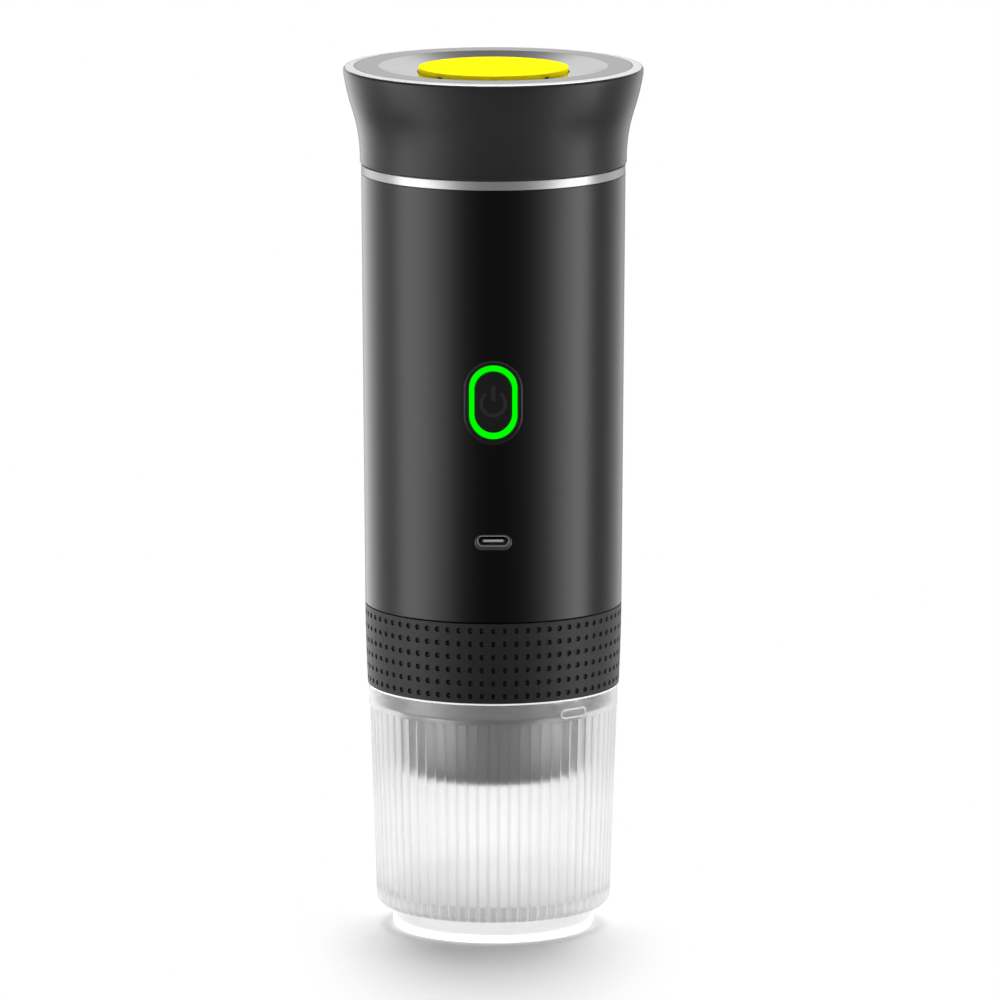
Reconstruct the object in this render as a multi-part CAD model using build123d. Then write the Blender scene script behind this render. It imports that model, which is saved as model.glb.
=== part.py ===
from build123d import *
import os
from math import cos, pi, radians, sin, sqrt

# Portable espresso machine. Millimetres, +Z up, origin under the middle of the cup's foot, front towards -Y.

# Heights of the outside, from the cup to the lid
cup_height = 68.4
grip_height = 22.4
housing_height = 119.5
trim_height = 2.5
lid_height = 26.8

# Body outside
body_radius_low = 35.4
body_taper = 0.9
housing_wall = 1.2

# Clearances shared by all pieces
parting_gap = 0.2
fit_gap = 0.05
slide_gap = 0.3
overrun = 1.0

# Grip ring and brew collar
grip_taper = 0.7
grip_belly = 0.1
grip_wall = 1.6
dimple_count = 70
dimple_rows = 6
dimple_margin = 2.05
dimple_radius = 0.75
dimple_depth = 0.4
collar_wall = 2.0
collar_ledge_rise = 3.6
collar_ledge_height = 4.0
spigot_depth = 5.4
spigot_wall = 2.0

# Cup
cup_step = 0.4
cup_rim_height = 6.1
cup_rim_wall = 2.6
cup_draft = 1.9
cup_wall = 2.0
cup_floor_thickness = 3.4
rib_count = 70
rib_inset = 0.1
rib_depth = 0.6
rib_chamfer = 1.4
rib_outline_shares = ((0.0, 1.0), (0.2, 0.3), (0.5, 0.0), (0.8, 0.3))
foot_height = 6.5
foot_step = 4.4
foot_bevel_height = 1.6
foot_bevel_width = 0.9
foot_ring_width = 3.2
foot_recess_depth = 1.6
pip_length = 9.0
pip_width = 2.8
pip_rise = 0.4
pip_drop = 4.0
pip_angle = -50.0

# Brew chamber, outlet valve and coffee basket
chamber_gap = 4.4
chamber_depth = 33.0
chamber_draft = 1.6
chamber_wall = 1.5
chamber_corner = 2.5
chamber_flange_height = 2.2
outlet_radius = 1.5
valve_radius = 5.0
valve_height = 3.0
basket_sheet = 0.9
basket_gap = 0.3
basket_depth = 26.0
basket_flange_inset = 1.2
basket_hole_radius = 0.7
basket_ring_shares = ((1, 0.0), (6, 0.4), (12, 0.78))

# Brew seal, base cap and shower screen
seal_height = 2.4
seal_inset = 1.4
screen_thickness = 0.8
screen_ledge = 1.3
screen_hole_radius = 0.8
screen_ring_shares = ((8, 0.35), (16, 0.7))
plenum_height = 1.2
base_plate_thickness = 1.5
neck_wall = 2.2
base_flange_height = 2.5

# Base screws and chassis posts
screw_inset = 1.65
screw_head_radius = 1.4
screw_head_height = 1.0
screw_shank_radius = 0.8
screw_length = 6.0
screw_angles = (30.0, 150.0, 245.0, 295.0)
post_radius = 1.5
deck_thickness = 2.0

# Battery
cell_radius_share = 0.269
cell_length = 65.0
cell_wall_gap = 2.0
cell_angles = (90.0, 210.0, 330.0)
tray_thickness = 2.0
cradle_wall = 0.9
cradle_height = 4.0

# Pump, coupling and motor
motor_cell_gap = 1.6
motor_head_room = 8.0
motor_ring_wall = 1.2
motor_ring_overlap = 4.5
pump_height = 18.0
pump_step = 0.7
pump_inlet_height = 9.0
pump_inlet_length = 4.0
mount_height = 8.0
mount_wall = 1.7
mount_window_width = 9.0
mount_window_height = 4.0
mount_window_count = 3
shaft_radius = 1.5
shaft_reach = 4.0
shaft_end_gap = 0.5
coupling_radius = 4.5
coupling_end_gap = 1.5

# Water tank, heater and hoses
tank_jacket = 4.7
tank_sheet = 0.8
tank_flange_height = 1.2
heater_thickness = 2.5
heater_inset = 3.4
barb_inset = 7.6
barb_angle = 30.0
barb_radius = 1.25
barb_bore = 0.7
barb_flange_radius = 4.0
barb_flange_height = 0.8
barb_reach = 8.0
barb_room = 2.5
hose_radius = 2.2
hose_bend = 6.0
hose_deck_gap = 0.5
outlet_tube_radius = 2.5
outlet_tube_bore = 1.2

# Control board, switch and charging socket
board_width = 20.0
board_thickness = 1.6
board_setback = 11.9
board_top_margin = 5.0
board_deck_gap = 1.0
board_rail_width = 2.0
switch_size = 6.0
switch_height = 2.0
switch_floor = 0.3
port_height = 22.8
port_recess = 0.3
shell_width = 8.94
shell_height = 3.26
shell_wall = 0.3
tongue_width = 6.69
tongue_thickness = 0.7
tongue_recess = 0.6
socket_core_depth = 5.0
port_bezel_width = 10.3
port_bezel_height = 4.3
port_bezel_depth = 4.0

# Power button, light ring and their bezel
button_height = 61.1
button_straight = 7.0
button_travel = 0.8
bezel_width = 16.3
bezel_depth = 5.0
bezel_recess = 0.4
bezel_flange = 1.3
light_width = 13.4
light_recess = 0.5
light_flange = 1.2
light_flange_height = 1.5
cap_opening_width = 10.1
cap_gap = 0.15
cap_recess = 0.6
cap_flange = 1.0
cap_flange_height = 1.0
plunger_radius = 1.6
plunger_gap = 0.1

# Lid collar
lid_overhang = 0.35
lid_flare = 4.55
lid_wall = 3.0
lid_edge_round = 0.4
flare_start = 1.3
flare_join_height_share = 0.56
flare_join_shares = 0.48
shoulder_share = 0.933
rim_lip = 0.8
rim_drop = 0.4
lid_ledge_width = 2.2
lid_ledge_height = 2.0
seat_width = 2.4

# Lid dish
dish_sheet = 0.8
dish_depth = 1.7
dish_bevel_width = 2.0
dish_bevel_drop = 0.35
dish_ring_width = 6.65
dish_moat_width = 3.0
guide_depth = 5.3
notch_width = 3.0
notch_reach = 1.1
notch_depth = 2.0
notch_angles = (45.0, 135.0, 225.0, 315.0)

# Lid plug, gasket and vent valve
gasket_height = 2.0
gasket_inset = 0.4
plug_depth = 9.2
plug_floor = 2.0
plug_wall = 2.0
plug_flange_height = 2.5
boss_radius = 6.0
boss_height = 16.0
vent_radius = 20.6
vent_drop = 0.1
vent_crown = 1.6
vent_skirt_wall = 1.4
vent_edge_round = 0.6
vent_lip_height = 1.3
vent_lip_inset = 0.1
stem_radius = 2.5
stem_gap = 0.7
seat_disc_radius = 6.0
seat_disc_height = 2.0
spring_radius = 4.4
spring_wire_radius = 0.5
spring_turns = 6
spring_min_gap = 0.4

# Levels worked out from the stack
grip_top = cup_height + grip_height
unit_low = grip_top + parting_gap
housing_top = unit_low + housing_height
trim_top = housing_top + trim_height
lid_low = trim_top + parting_gap
lid_top = lid_low + lid_height

collar_ledge_low = cup_height + collar_ledge_rise
collar_ledge_top = collar_ledge_low + collar_ledge_height
chamber_low = collar_ledge_top - chamber_depth
chamber_flange_top = collar_ledge_top + chamber_flange_height
basket_top = chamber_flange_top + basket_sheet
seal_top = basket_top + seal_height
screen_top = seal_top + screen_thickness
plenum_top = screen_top + plenum_height
base_plate_top = plenum_top + base_plate_thickness

flange_top = unit_low + base_flange_height
tray_top = flange_top + tray_thickness
port_level = unit_low + port_height
button_level = unit_low + button_height
board_top = button_level + board_top_margin
deck_low = max(tray_top + cell_length, board_top + board_deck_gap)
deck_top = deck_low + deck_thickness
tank_low = deck_top + heater_thickness
tank_floor = tank_low + tank_sheet

pump_top = tray_top + pump_height
motor_low = pump_top + mount_height
motor_top = deck_low - motor_head_room

gasket_top = trim_top + gasket_height
plug_flange_top = gasket_top + plug_flange_height
plug_low = lid_low - plug_depth
boss_top = plug_low + plug_floor + boss_height
dish_floor = lid_top - dish_depth
dish_seat = lid_top - dish_sheet
guide_low = dish_floor - guide_depth
vent_top = lid_top - vent_drop
vent_underside = vent_top - vent_crown

# Radii worked out from the body's outside and the clearances
body_radius_high = body_radius_low + body_taper
bore_radius_low = body_radius_low - housing_wall
bore_radius_high = body_radius_high - housing_wall
grip_radius_low = body_radius_low - grip_taper
collar_radius = grip_radius_low - grip_wall
collar_bore = collar_radius - collar_wall
cup_radius = grip_radius_low - cup_step
cup_mouth = cup_radius - cup_rim_wall
spigot_radius = cup_mouth - slide_gap
spigot_bore = spigot_radius - spigot_wall
chamber_radius_high = spigot_bore - chamber_gap
chamber_radius_low = chamber_radius_high - chamber_draft
chamber_flange_radius = collar_bore - fit_gap
basket_radius = chamber_radius_low - chamber_wall - basket_gap
basket_flange_radius = chamber_flange_radius - basket_flange_inset
seal_bore = basket_radius + seal_inset
neck_radius = collar_bore - slide_gap
plenum_radius = seal_bore - screen_ledge
inner_radius = bore_radius_low - fit_gap
screw_circle = inner_radius - screw_inset
cell_radius = bore_radius_low * cell_radius_share
cell_circle = bore_radius_low - cell_wall_gap - cell_radius
motor_radius = cell_circle - cell_radius - motor_cell_gap
pump_radius = motor_radius - pump_step
tank_radius = bore_radius_high - tank_jacket
tank_bore = tank_radius - tank_sheet
barb_circle = tank_bore - barb_inset
hose_bore = barb_radius + fit_gap

lid_radius_low = body_radius_high + lid_overhang
lid_radius = lid_radius_low + lid_flare
lid_bore = lid_radius_low - lid_wall
dish_recess = lid_radius - rim_lip
dish_radius = dish_recess - fit_gap
dish_ring_outer = dish_radius - dish_bevel_width
dish_ring_inner = dish_ring_outer - dish_ring_width
dish_floor_radius = vent_radius + dish_moat_width
guide_bore = vent_radius + slide_gap
guide_radius = guide_bore + dish_sheet
plug_radius = tank_bore - slide_gap
stem_bore = stem_radius + stem_gap


def body_radius(level):
    """Outside radius of the tapered body at one height."""
    return body_radius_low + body_taper * (level - unit_low) / housing_height


# Depths behind the body's front, along Y
board_face = board_setback - body_radius(port_level)
board_back = board_face + board_thickness
shell_front = port_recess - body_radius(port_level)
bezel_back = bezel_depth - body_radius(button_level)
light_back = bezel_back + light_flange_height
cap_flange_front = light_back + parting_gap
cap_back = cap_flange_front + cap_flange_height
switch_face = board_face - switch_height
plunger_tip = board_face - switch_floor - parting_gap - button_travel
button_front = -body_radius_high - overrun


# Shapes that many pieces share
def turned(points):
    """Solid of revolution about Z from (radius, height) corners."""
    return revolve(Plane.XZ * make_face(Polyline(*points, close=True)), Axis.Z)


def ring(inner, outer, low, high):
    """Plain ring about Z."""
    return turned([(inner, low), (outer, low), (outer, high), (inner, high)])


def rod(radius, low, high, place=(0, 0)):
    """Upright round bar."""
    bar = turned([(0, low), (radius, low), (radius, high), (0, high)])
    return Pos(*place, 0) * bar


def block(low, high):
    """Box between two corners."""
    size = Vector(*high) - Vector(*low)
    return Pos(*low) * Box(size.X, size.Y, size.Z, align=Align.MIN)


def polar(radius, angle):
    """Place on a circle about Z."""
    return (radius * cos(radians(angle)), radius * sin(radians(angle)))


def pill(width, height, back, front, level):
    """Prism with round ends that faces the front, between two depths along Y."""
    turn = 90 if height > width else 0
    outline = SlotOverall(max(width, height), min(width, height), rotation=turn)
    face_plane = Plane(origin=(0, back, level), x_dir=(1, 0, 0), z_dir=(0, -1, 0))
    return extrude(face_plane * outline, back - front)


def body_core(recess):
    """Tapered bar that lies a recess below the body's outside."""
    low = (body_radius_low - recess, unit_low)
    high = (body_radius_high - recess, housing_top)
    return turned([(0, unit_low), low, high, (0, housing_top)])


def perforations(hole_radius, rings, reach, low, high):
    """Six-sided holes on rings that are shares of a reach."""
    hole = extrude(RegularPolygon(hole_radius, 6), high - low)
    holes = []
    for count, share in rings:
        for index in range(count):
            place = polar(reach * share, 360 * index / count)
            holes.append(Pos(*place, low) * hole)
    return holes


# Cup
def rib_section(level, crest):
    """Face with one rounded bead per rib, at one height."""
    corners = []
    for index in range(rib_count):
        for turn_share, depth_share in rib_outline_shares:
            angle = 360 * (index + turn_share) / rib_count
            corners.append(polar(crest - rib_depth * depth_share, angle))
    return Pos(0, 0, level) * make_face(Polyline(*corners, close=True))


def coffee_cup():
    rim_low = cup_height - cup_rim_height
    rib_low = foot_height + rib_chamfer
    crest_high = cup_radius - rib_inset
    crest_low = crest_high - cup_draft
    crest_foot = crest_low - rib_chamfer
    foot_radius = crest_low - foot_step
    floor_radius = crest_low - rib_depth - cup_wall
    floor = foot_height + cup_floor_thickness
    sole_radius = foot_radius - foot_bevel_width

    ribs = loft([rib_section(rib_low, crest_low), rib_section(rim_low, crest_high)], ruled=True)
    edge = loft([rib_section(foot_height, crest_foot), rib_section(rib_low, crest_low)], ruled=True)
    rim = rod(cup_radius, rim_low, cup_height)
    foot = turned([
        (0, 0),
        (sole_radius, 0),
        (foot_radius, foot_bevel_height),
        (foot_radius, foot_height),
        (0, foot_height),
    ])
    pip_plane = Plane(
        origin=(*polar(cup_mouth, pip_angle), cup_height - pip_drop),
        x_dir=(-sin(radians(pip_angle)), cos(radians(pip_angle)), 0),
        z_dir=(*polar(1, pip_angle), 0),
    )
    pip = extrude(pip_plane * SlotOverall(pip_length, pip_width), cup_rim_wall + pip_rise)
    cavity = turned([
        (0, floor),
        (floor_radius, floor),
        (cup_mouth, rim_low),
        (cup_mouth, cup_height + overrun),
        (0, cup_height + overrun),
    ])
    recess = rod(sole_radius - foot_ring_width, -overrun, foot_recess_depth)
    return ribs + edge + rim + foot + pip - cavity - recess


# Brew head, which the cup hangs under
def grip_dimples(outer):
    """Rows of six-sided pits, each a pyramid square to the ring's outline."""
    pit_base = RegularPolygon(2 * dimple_radius, 6)
    pit = loft([pit_base, Vertex(0, 0, -2 * dimple_depth)])
    row_pitch = (grip_height - 2 * dimple_margin) / (dimple_rows - 1)
    pits = []
    for row in range(dimple_rows):
        share = (dimple_margin + row * row_pitch) / grip_height
        place = outer @ share
        for index in range(dimple_count):
            angle = 360 * index / dimple_count - 90
            centre = (*polar(place.X + dimple_depth, angle), place.Y)
            pits.append(Plane(origin=centre, z_dir=(*polar(1, angle), 0)) * pit)
    return pits


def grip_ring():
    """Rubber sleeve, slightly bellied, that covers the collar."""
    outer_low = (grip_radius_low, cup_height)
    outer_high = (body_radius_low, grip_top)
    middle = ((grip_radius_low + body_radius_low) / 2 + grip_belly, (cup_height + grip_top) / 2)
    inner = collar_radius + fit_gap
    outer = ThreePointArc(outer_low, middle, outer_high)
    inside = Polyline(outer_high, (inner, grip_top), (inner, cup_height), outer_low)
    sleeve = revolve(Plane.XZ * make_face(outer + inside), Axis.Z)
    return sleeve - grip_dimples(outer)


def brew_collar():
    spigot_low = cup_height - spigot_depth
    ledge_bore = chamber_radius_high + fit_gap
    return turned([
        (spigot_bore, spigot_low),
        (spigot_radius, spigot_low),
        (spigot_radius, cup_height),
        (collar_radius, cup_height),
        (collar_radius, grip_top),
        (collar_bore, grip_top),
        (collar_bore, collar_ledge_top),
        (ledge_bore, collar_ledge_top),
        (ledge_bore, collar_ledge_low),
        (spigot_bore, collar_ledge_low),
    ])


def brew_chamber():
    outer_high = (chamber_radius_high, collar_ledge_top)
    inner_low = chamber_radius_low - chamber_wall
    shell = turned([
        (0, chamber_low),
        (chamber_radius_low, chamber_low),
        outer_high,
        (chamber_flange_radius, collar_ledge_top),
        (chamber_flange_radius, chamber_flange_top),
        (0, chamber_flange_top),
    ])
    bottom_edge = shell.edges().group_by(Axis.Z)[0]
    shell = fillet(bottom_edge, chamber_corner)
    cavity = turned([
        (0, chamber_low + chamber_wall),
        (inner_low, chamber_low + chamber_wall),
        (chamber_radius_high - chamber_wall, chamber_flange_top),
        (0, chamber_flange_top),
    ])
    return shell - cavity - rod(outlet_radius, chamber_low - overrun, chamber_low + chamber_wall + overrun)


def outlet_valve():
    low = chamber_low + chamber_wall
    return ring(outlet_radius, valve_radius, low, low + valve_height)


def coffee_basket():
    floor = chamber_flange_top - basket_depth
    shell = turned([
        (0, floor),
        (basket_radius, floor),
        (basket_radius, chamber_flange_top),
        (basket_flange_radius, chamber_flange_top),
        (basket_flange_radius, basket_top),
        (basket_radius - basket_sheet, basket_top),
        (basket_radius - basket_sheet, floor + basket_sheet),
        (0, floor + basket_sheet),
    ])
    holes = perforations(basket_hole_radius, basket_ring_shares, basket_radius,
                         floor - overrun, floor + basket_sheet + overrun)
    return shell - holes


def brew_seal():
    return ring(seal_bore, basket_flange_radius, basket_top, seal_top)


# Lower end of the main unit
def screw_places():
    return [polar(screw_circle, angle) for angle in screw_angles]


def base_cap():
    cap = turned([
        (outlet_tube_bore, plenum_top),
        (plenum_radius, plenum_top),
        (plenum_radius, screen_top),
        (seal_bore, screen_top),
        (seal_bore, seal_top),
        (neck_radius, seal_top),
        (neck_radius, unit_low),
        (inner_radius, unit_low),
        (inner_radius, flange_top),
        (neck_radius - neck_wall, flange_top),
        (neck_radius - neck_wall, base_plate_top),
        (outlet_tube_bore, base_plate_top),
    ])
    head_top = unit_low + screw_head_height
    for place in screw_places():
        cap -= rod(screw_head_radius + fit_gap, unit_low - overrun, head_top, place)
        cap -= rod(screw_shank_radius + fit_gap, unit_low, flange_top + overrun, place)
    return cap


def shower_screen():
    radius = seal_bore - fit_gap
    holes = perforations(screen_hole_radius, screen_ring_shares, radius, seal_top - overrun, screen_top + overrun)
    return rod(radius, seal_top, screen_top) - holes


def base_screws():
    head_top = unit_low + screw_head_height
    screws = []
    for place in screw_places():
        head = rod(screw_head_radius, unit_low, head_top, place)
        screws.append(head + rod(screw_shank_radius, head_top, head_top + screw_length, place))
    return Compound(children=screws)


def battery_tray():
    tray = ring(outlet_tube_radius + fit_gap, inner_radius, flange_top, tray_top)
    for angle in cell_angles:
        cradle = ring(cell_radius + fit_gap, cell_radius + cradle_wall, tray_top, tray_top + cradle_height)
        tray += Pos(*polar(cell_circle, angle), 0) * cradle
    for place in screw_places():
        tray -= rod(post_radius + fit_gap, flange_top - overrun, tray_top + overrun, place)
    return tray


def battery_cells():
    cells = []
    for angle in cell_angles:
        cells.append(rod(cell_radius, tray_top, tray_top + cell_length, polar(cell_circle, angle)))
    return Compound(children=cells)


def chassis_frame():
    """Deck under the tank, on posts, with a ring for the motor and rails for the board."""
    frame = rod(inner_radius, deck_low, deck_top)
    ring_bore = motor_radius + fit_gap
    frame += ring(ring_bore, ring_bore + motor_ring_wall, motor_top - motor_ring_overlap, deck_low)
    rail_inner = board_width / 2 + fit_gap
    for side in (-1, 1):
        rail_edges = sorted((side * rail_inner, side * (rail_inner + board_rail_width)))
        frame += block((rail_edges[0], board_face, tray_top), (rail_edges[1], board_back, deck_low))
    for place in screw_places():
        frame += rod(post_radius, flange_top, deck_low, place)
    screw_end = unit_low + screw_head_height + screw_length
    for place in screw_places():
        frame -= rod(screw_shank_radius + fit_gap, flange_top, screw_end, place)
    barb_place = polar(barb_circle, barb_angle)
    frame -= rod(barb_radius + barb_room, deck_low - overrun, deck_top + overrun, barb_place)
    pocket_half = bezel_width / 2 + bezel_flange + slide_gap
    pocket_back = cap_back + button_travel + slide_gap
    pocket = block(
        (-pocket_half, button_front, deck_low - overrun),
        (pocket_half, pocket_back, deck_top + overrun),
    )
    return frame - pocket


# Pump and motor on the axis
def outlet_tube():
    return ring(outlet_tube_bore, outlet_tube_radius, base_plate_top, tray_top)


def pump_head():
    body = rod(pump_radius, tray_top, pump_top)
    inlet_level = tray_top + pump_inlet_height
    inlet = rotated_bar(barb_radius, 0, pump_radius + pump_inlet_length, inlet_level)
    shaft_hole = rod(shaft_radius + fit_gap, pump_top - shaft_reach - shaft_end_gap, pump_top + overrun)
    return body + inlet - shaft_hole


def rotated_bar(radius, start, end, level):
    """Round bar that points outwards at the hose's angle."""
    bar = Rot(0, 90, 0) * rod(radius, start, end)
    return Pos(0, 0, level) * Rot(0, 0, barb_angle) * bar


def motor_mount():
    mount = ring(motor_radius - mount_wall, motor_radius, pump_top, motor_low)
    window_low = (pump_top + motor_low - mount_window_height) / 2
    window = block(
        (0, -mount_window_width / 2, window_low),
        (motor_radius + overrun, mount_window_width / 2, window_low + mount_window_height),
    )
    for index in range(mount_window_count):
        mount -= Rot(0, 0, 360 * index / mount_window_count) * window
    return mount


def motor_can():
    shaft_hole = rod(shaft_radius + fit_gap, motor_low - overrun, motor_low + shaft_reach + shaft_end_gap)
    return rod(motor_radius, motor_low, motor_top) - shaft_hole


def drive_coupling():
    shaft = rod(shaft_radius, pump_top - shaft_reach, motor_low + shaft_reach)
    return shaft + rod(coupling_radius, pump_top + coupling_end_gap, motor_low - coupling_end_gap)


# Water tank and its way to the pump
def water_tank():
    flange_low = housing_top - tank_flange_height
    tank = turned([
        (0, tank_low),
        (tank_radius, tank_low),
        (tank_radius, flange_low),
        (body_radius(flange_low) - housing_wall - fit_gap, flange_low),
        (bore_radius_high - fit_gap, housing_top),
        (tank_bore, housing_top),
        (tank_bore, tank_floor),
        (0, tank_floor),
    ])
    return tank - rod(barb_radius + fit_gap, tank_low - overrun, tank_floor + overrun, polar(barb_circle, barb_angle))


def heater_plate():
    hole = rod(barb_radius + barb_room, deck_top - overrun, tank_low + overrun, polar(barb_circle, barb_angle))
    return rod(tank_radius - heater_inset, deck_top, tank_low) - hole


def tank_outlet():
    barb = turned([
        (barb_bore, deck_low - barb_reach),
        (barb_radius, deck_low - barb_reach),
        (barb_radius, tank_floor),
        (barb_flange_radius, tank_floor),
        (barb_flange_radius, tank_floor + barb_flange_height),
        (barb_bore, tank_floor + barb_flange_height),
    ])
    return Pos(*polar(barb_circle, barb_angle), 0) * barb


def inlet_hose():
    """Hose from the tank's barb down to the pump's inlet, bent once."""
    inlet_level = tray_top + pump_inlet_height
    route = FilletPolyline(
        (barb_circle, 0, deck_low - hose_deck_gap),
        (barb_circle, 0, inlet_level),
        (pump_radius + fit_gap, 0, inlet_level),
        radius=hose_bend,
    )
    start = Plane(origin=route @ 0, z_dir=route % 0)
    wall = Circle(hose_radius) - Circle(hose_bore)
    return Rot(0, 0, barb_angle) * sweep(start * wall, path=route)


# Control board, switch and charging socket
def control_board():
    half = board_width / 2
    return block((-half, board_face, tray_top), (half, board_back, board_top))


def plunger_bar(radius, back, front):
    """Round bar along Y at the button's height."""
    plane = Plane(origin=(0, back, button_level), x_dir=(1, 0, 0), z_dir=(0, -1, 0))
    return extrude(plane * Circle(radius), back - front)


def tact_switch():
    half = switch_size / 2
    low = (-half, switch_face, button_level - half)
    high = (half, board_face, button_level + half)
    well = plunger_bar(plunger_radius + plunger_gap, board_face - switch_floor, switch_face - overrun)
    return block(low, high) - well


def usb_shell():
    shell = pill(shell_width, shell_height, board_face, shell_front, port_level)
    inner_width = shell_width - 2 * shell_wall
    inner_height = shell_height - 2 * shell_wall
    return shell - pill(inner_width, inner_height, board_face + overrun, shell_front - overrun, port_level)


def usb_tongue():
    inner_width = shell_width - 2 * (shell_wall + fit_gap)
    inner_height = shell_height - 2 * (shell_wall + fit_gap)
    core = pill(inner_width, inner_height, board_face, board_face - socket_core_depth, port_level)
    half_width = tongue_width / 2
    half_thickness = tongue_thickness / 2
    tongue = block(
        (-half_width, shell_front + tongue_recess, port_level - half_thickness),
        (half_width, board_face, port_level + half_thickness),
    )
    return core + tongue


def port_bezel():
    back = port_bezel_depth - body_radius(port_level)
    front = -body_radius(port_level) - overrun
    frame = pill(port_bezel_width, port_bezel_height, back, front, port_level)
    hole = pill(shell_width + 2 * fit_gap, shell_height + 2 * fit_gap, back + overrun, front - overrun, port_level)
    return (frame & body_core(0)) - hole


# Power button and its frame
def button_pill(width, back, front):
    """Upright pill at the button's height; every pill there has the same straight run."""
    return pill(width, width + button_straight, back, front, button_level)


def button_bezel():
    frame = button_pill(bezel_width, bezel_back, button_front) & body_core(bezel_recess)
    flange = button_pill(bezel_width + 2 * bezel_flange, bezel_back, button_front)
    flange &= body_core(housing_wall + fit_gap)
    return frame + flange - button_pill(light_width + 2 * fit_gap, bezel_back + overrun, button_front)


def light_ring():
    front = button_pill(light_width, light_back, button_front) & body_core(light_recess)
    flange = button_pill(light_width + 2 * light_flange, light_back, bezel_back)
    return front + flange - button_pill(cap_opening_width, light_back + overrun, button_front)


def power_button():
    cap_width = cap_opening_width - 2 * cap_gap
    cap = button_pill(cap_width, cap_back, button_front) & body_core(cap_recess)
    return cap + button_pill(cap_width + 2 * cap_flange, cap_back, cap_flange_front)


def switch_plunger():
    return plunger_bar(plunger_radius, plunger_tip, cap_back)


def housing_sleeve():
    sleeve = turned([
        (bore_radius_low, unit_low),
        (body_radius_low, unit_low),
        (body_radius_high, housing_top),
        (bore_radius_high, housing_top),
    ])
    port = pill(port_bezel_width + 2 * fit_gap, port_bezel_height + 2 * fit_gap, 0, button_front, port_level)
    return sleeve - button_pill(bezel_width + 2 * fit_gap, 0, button_front) - port


def trim_ring():
    return ring(tank_bore, body_radius_high, housing_top, trim_top)


# Lid
def lid_gasket():
    return ring(tank_bore + gasket_inset, lid_bore - gasket_inset, trim_top, gasket_top)


def lid_collar():
    """Flared shell: two tangent arcs outside, a rounded shoulder and a recess for the dish."""
    start = (lid_radius_low, lid_low + flare_start)
    join = (lid_radius_low + lid_flare * flare_join_shares, lid_low + lid_height * flare_join_height_share)
    shoulder = (lid_radius, lid_low + lid_height * shoulder_share)
    rim = (dish_recess, lid_top - rim_drop)
    edge = (lid_radius_low, lid_low + lid_edge_round)
    lower = TangentArc(start, join, tangent=(0, 1))
    upper = TangentArc(join, shoulder, tangent=lower % 1)
    rounding = TangentArc(shoulder, rim, tangent=upper % 1)
    ledge_bore = lid_bore - lid_ledge_width
    ledge_top = plug_flange_top + lid_ledge_height
    inside = Polyline(
        rim,
        (dish_recess, dish_seat),
        (dish_recess - seat_width, dish_seat),
        (ledge_bore, ledge_top),
        (ledge_bore, plug_flange_top),
        (lid_bore, plug_flange_top),
        (lid_bore, lid_low),
        (lid_radius_low - lid_edge_round, lid_low),
        edge,
        start,
    )
    return revolve(Plane.XZ * make_face(lower + upper + rounding + inside), Axis.Z)


def lid_dish():
    underside = dish_floor - dish_sheet
    dish = turned([
        (dish_radius, dish_seat),
        (dish_radius, lid_top - dish_bevel_drop),
        (dish_ring_outer, lid_top),
        (dish_ring_inner, lid_top),
        (dish_floor_radius, dish_floor),
        (guide_bore, dish_floor),
        (guide_bore, guide_low),
        (guide_radius, guide_low),
        (guide_radius, underside),
        (dish_floor_radius, underside),
        (dish_ring_inner, dish_seat),
    ])
    notch = block(
        (vent_radius, -notch_width / 2, dish_floor - notch_depth),
        (guide_bore + notch_reach, notch_width / 2, dish_floor + overrun),
    )
    for angle in notch_angles:
        dish -= Rot(0, 0, angle) * notch
    return dish


def lid_plug():
    flange_radius = lid_bore - fit_gap
    floor_top = plug_low + plug_floor
    return turned([
        (stem_bore, plug_low),
        (plug_radius, plug_low),
        (plug_radius, gasket_top),
        (flange_radius, gasket_top),
        (flange_radius, plug_flange_top),
        (plug_radius - plug_wall, plug_flange_top),
        (plug_radius - plug_wall, floor_top),
        (boss_radius, floor_top),
        (boss_radius, boss_top),
        (stem_bore, boss_top),
    ])


def vent_button():
    lip_top = guide_low - parting_gap
    lip_radius = guide_radius - vent_lip_inset
    skirt_bore = vent_radius - vent_skirt_wall
    button = turned([
        (0, vent_underside),
        (skirt_bore, vent_underside),
        (skirt_bore, lip_top - vent_lip_height),
        (lip_radius, lip_top - vent_lip_height),
        (lip_radius, lip_top),
        (vent_radius, lip_top),
        (vent_radius, vent_top),
        (0, vent_top),
    ])
    return fillet(button.edges().group_by(Axis.Z)[-1], vent_edge_round)


def valve_stem():
    return rod(stem_radius, plug_low, vent_underside)


def valve_disc():
    return rod(seat_disc_radius, plug_low - seat_disc_height, plug_low)


def spring_place(turn, low, pitch):
    """Point and unit tangent of the spring's helix after a number of turns."""
    angle = 2 * pi * turn
    place = Vector(spring_radius * cos(angle), spring_radius * sin(angle), low + pitch * turn)
    slope = pitch / (2 * pi * spring_radius)
    return place, Vector(-sin(angle), cos(angle), slope).normalized()


def tangent_arc_pair(start, start_way, end, end_way):
    """Two arcs that join two points and keep the way at both."""
    chord = end - start
    square = 2 * (1 - start_way.dot(end_way))
    linear = 2 * chord.dot(start_way + end_way)
    reach = (sqrt(linear * linear + 4 * square * chord.dot(chord)) - linear) / (2 * square)
    middle = (start + start_way * reach + end - end_way * reach) * (1 / 2)
    first = Edge.make_tangent_arc(start, start_way, middle)
    return [first, Edge.make_tangent_arc(middle, first % 1, end)]


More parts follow.
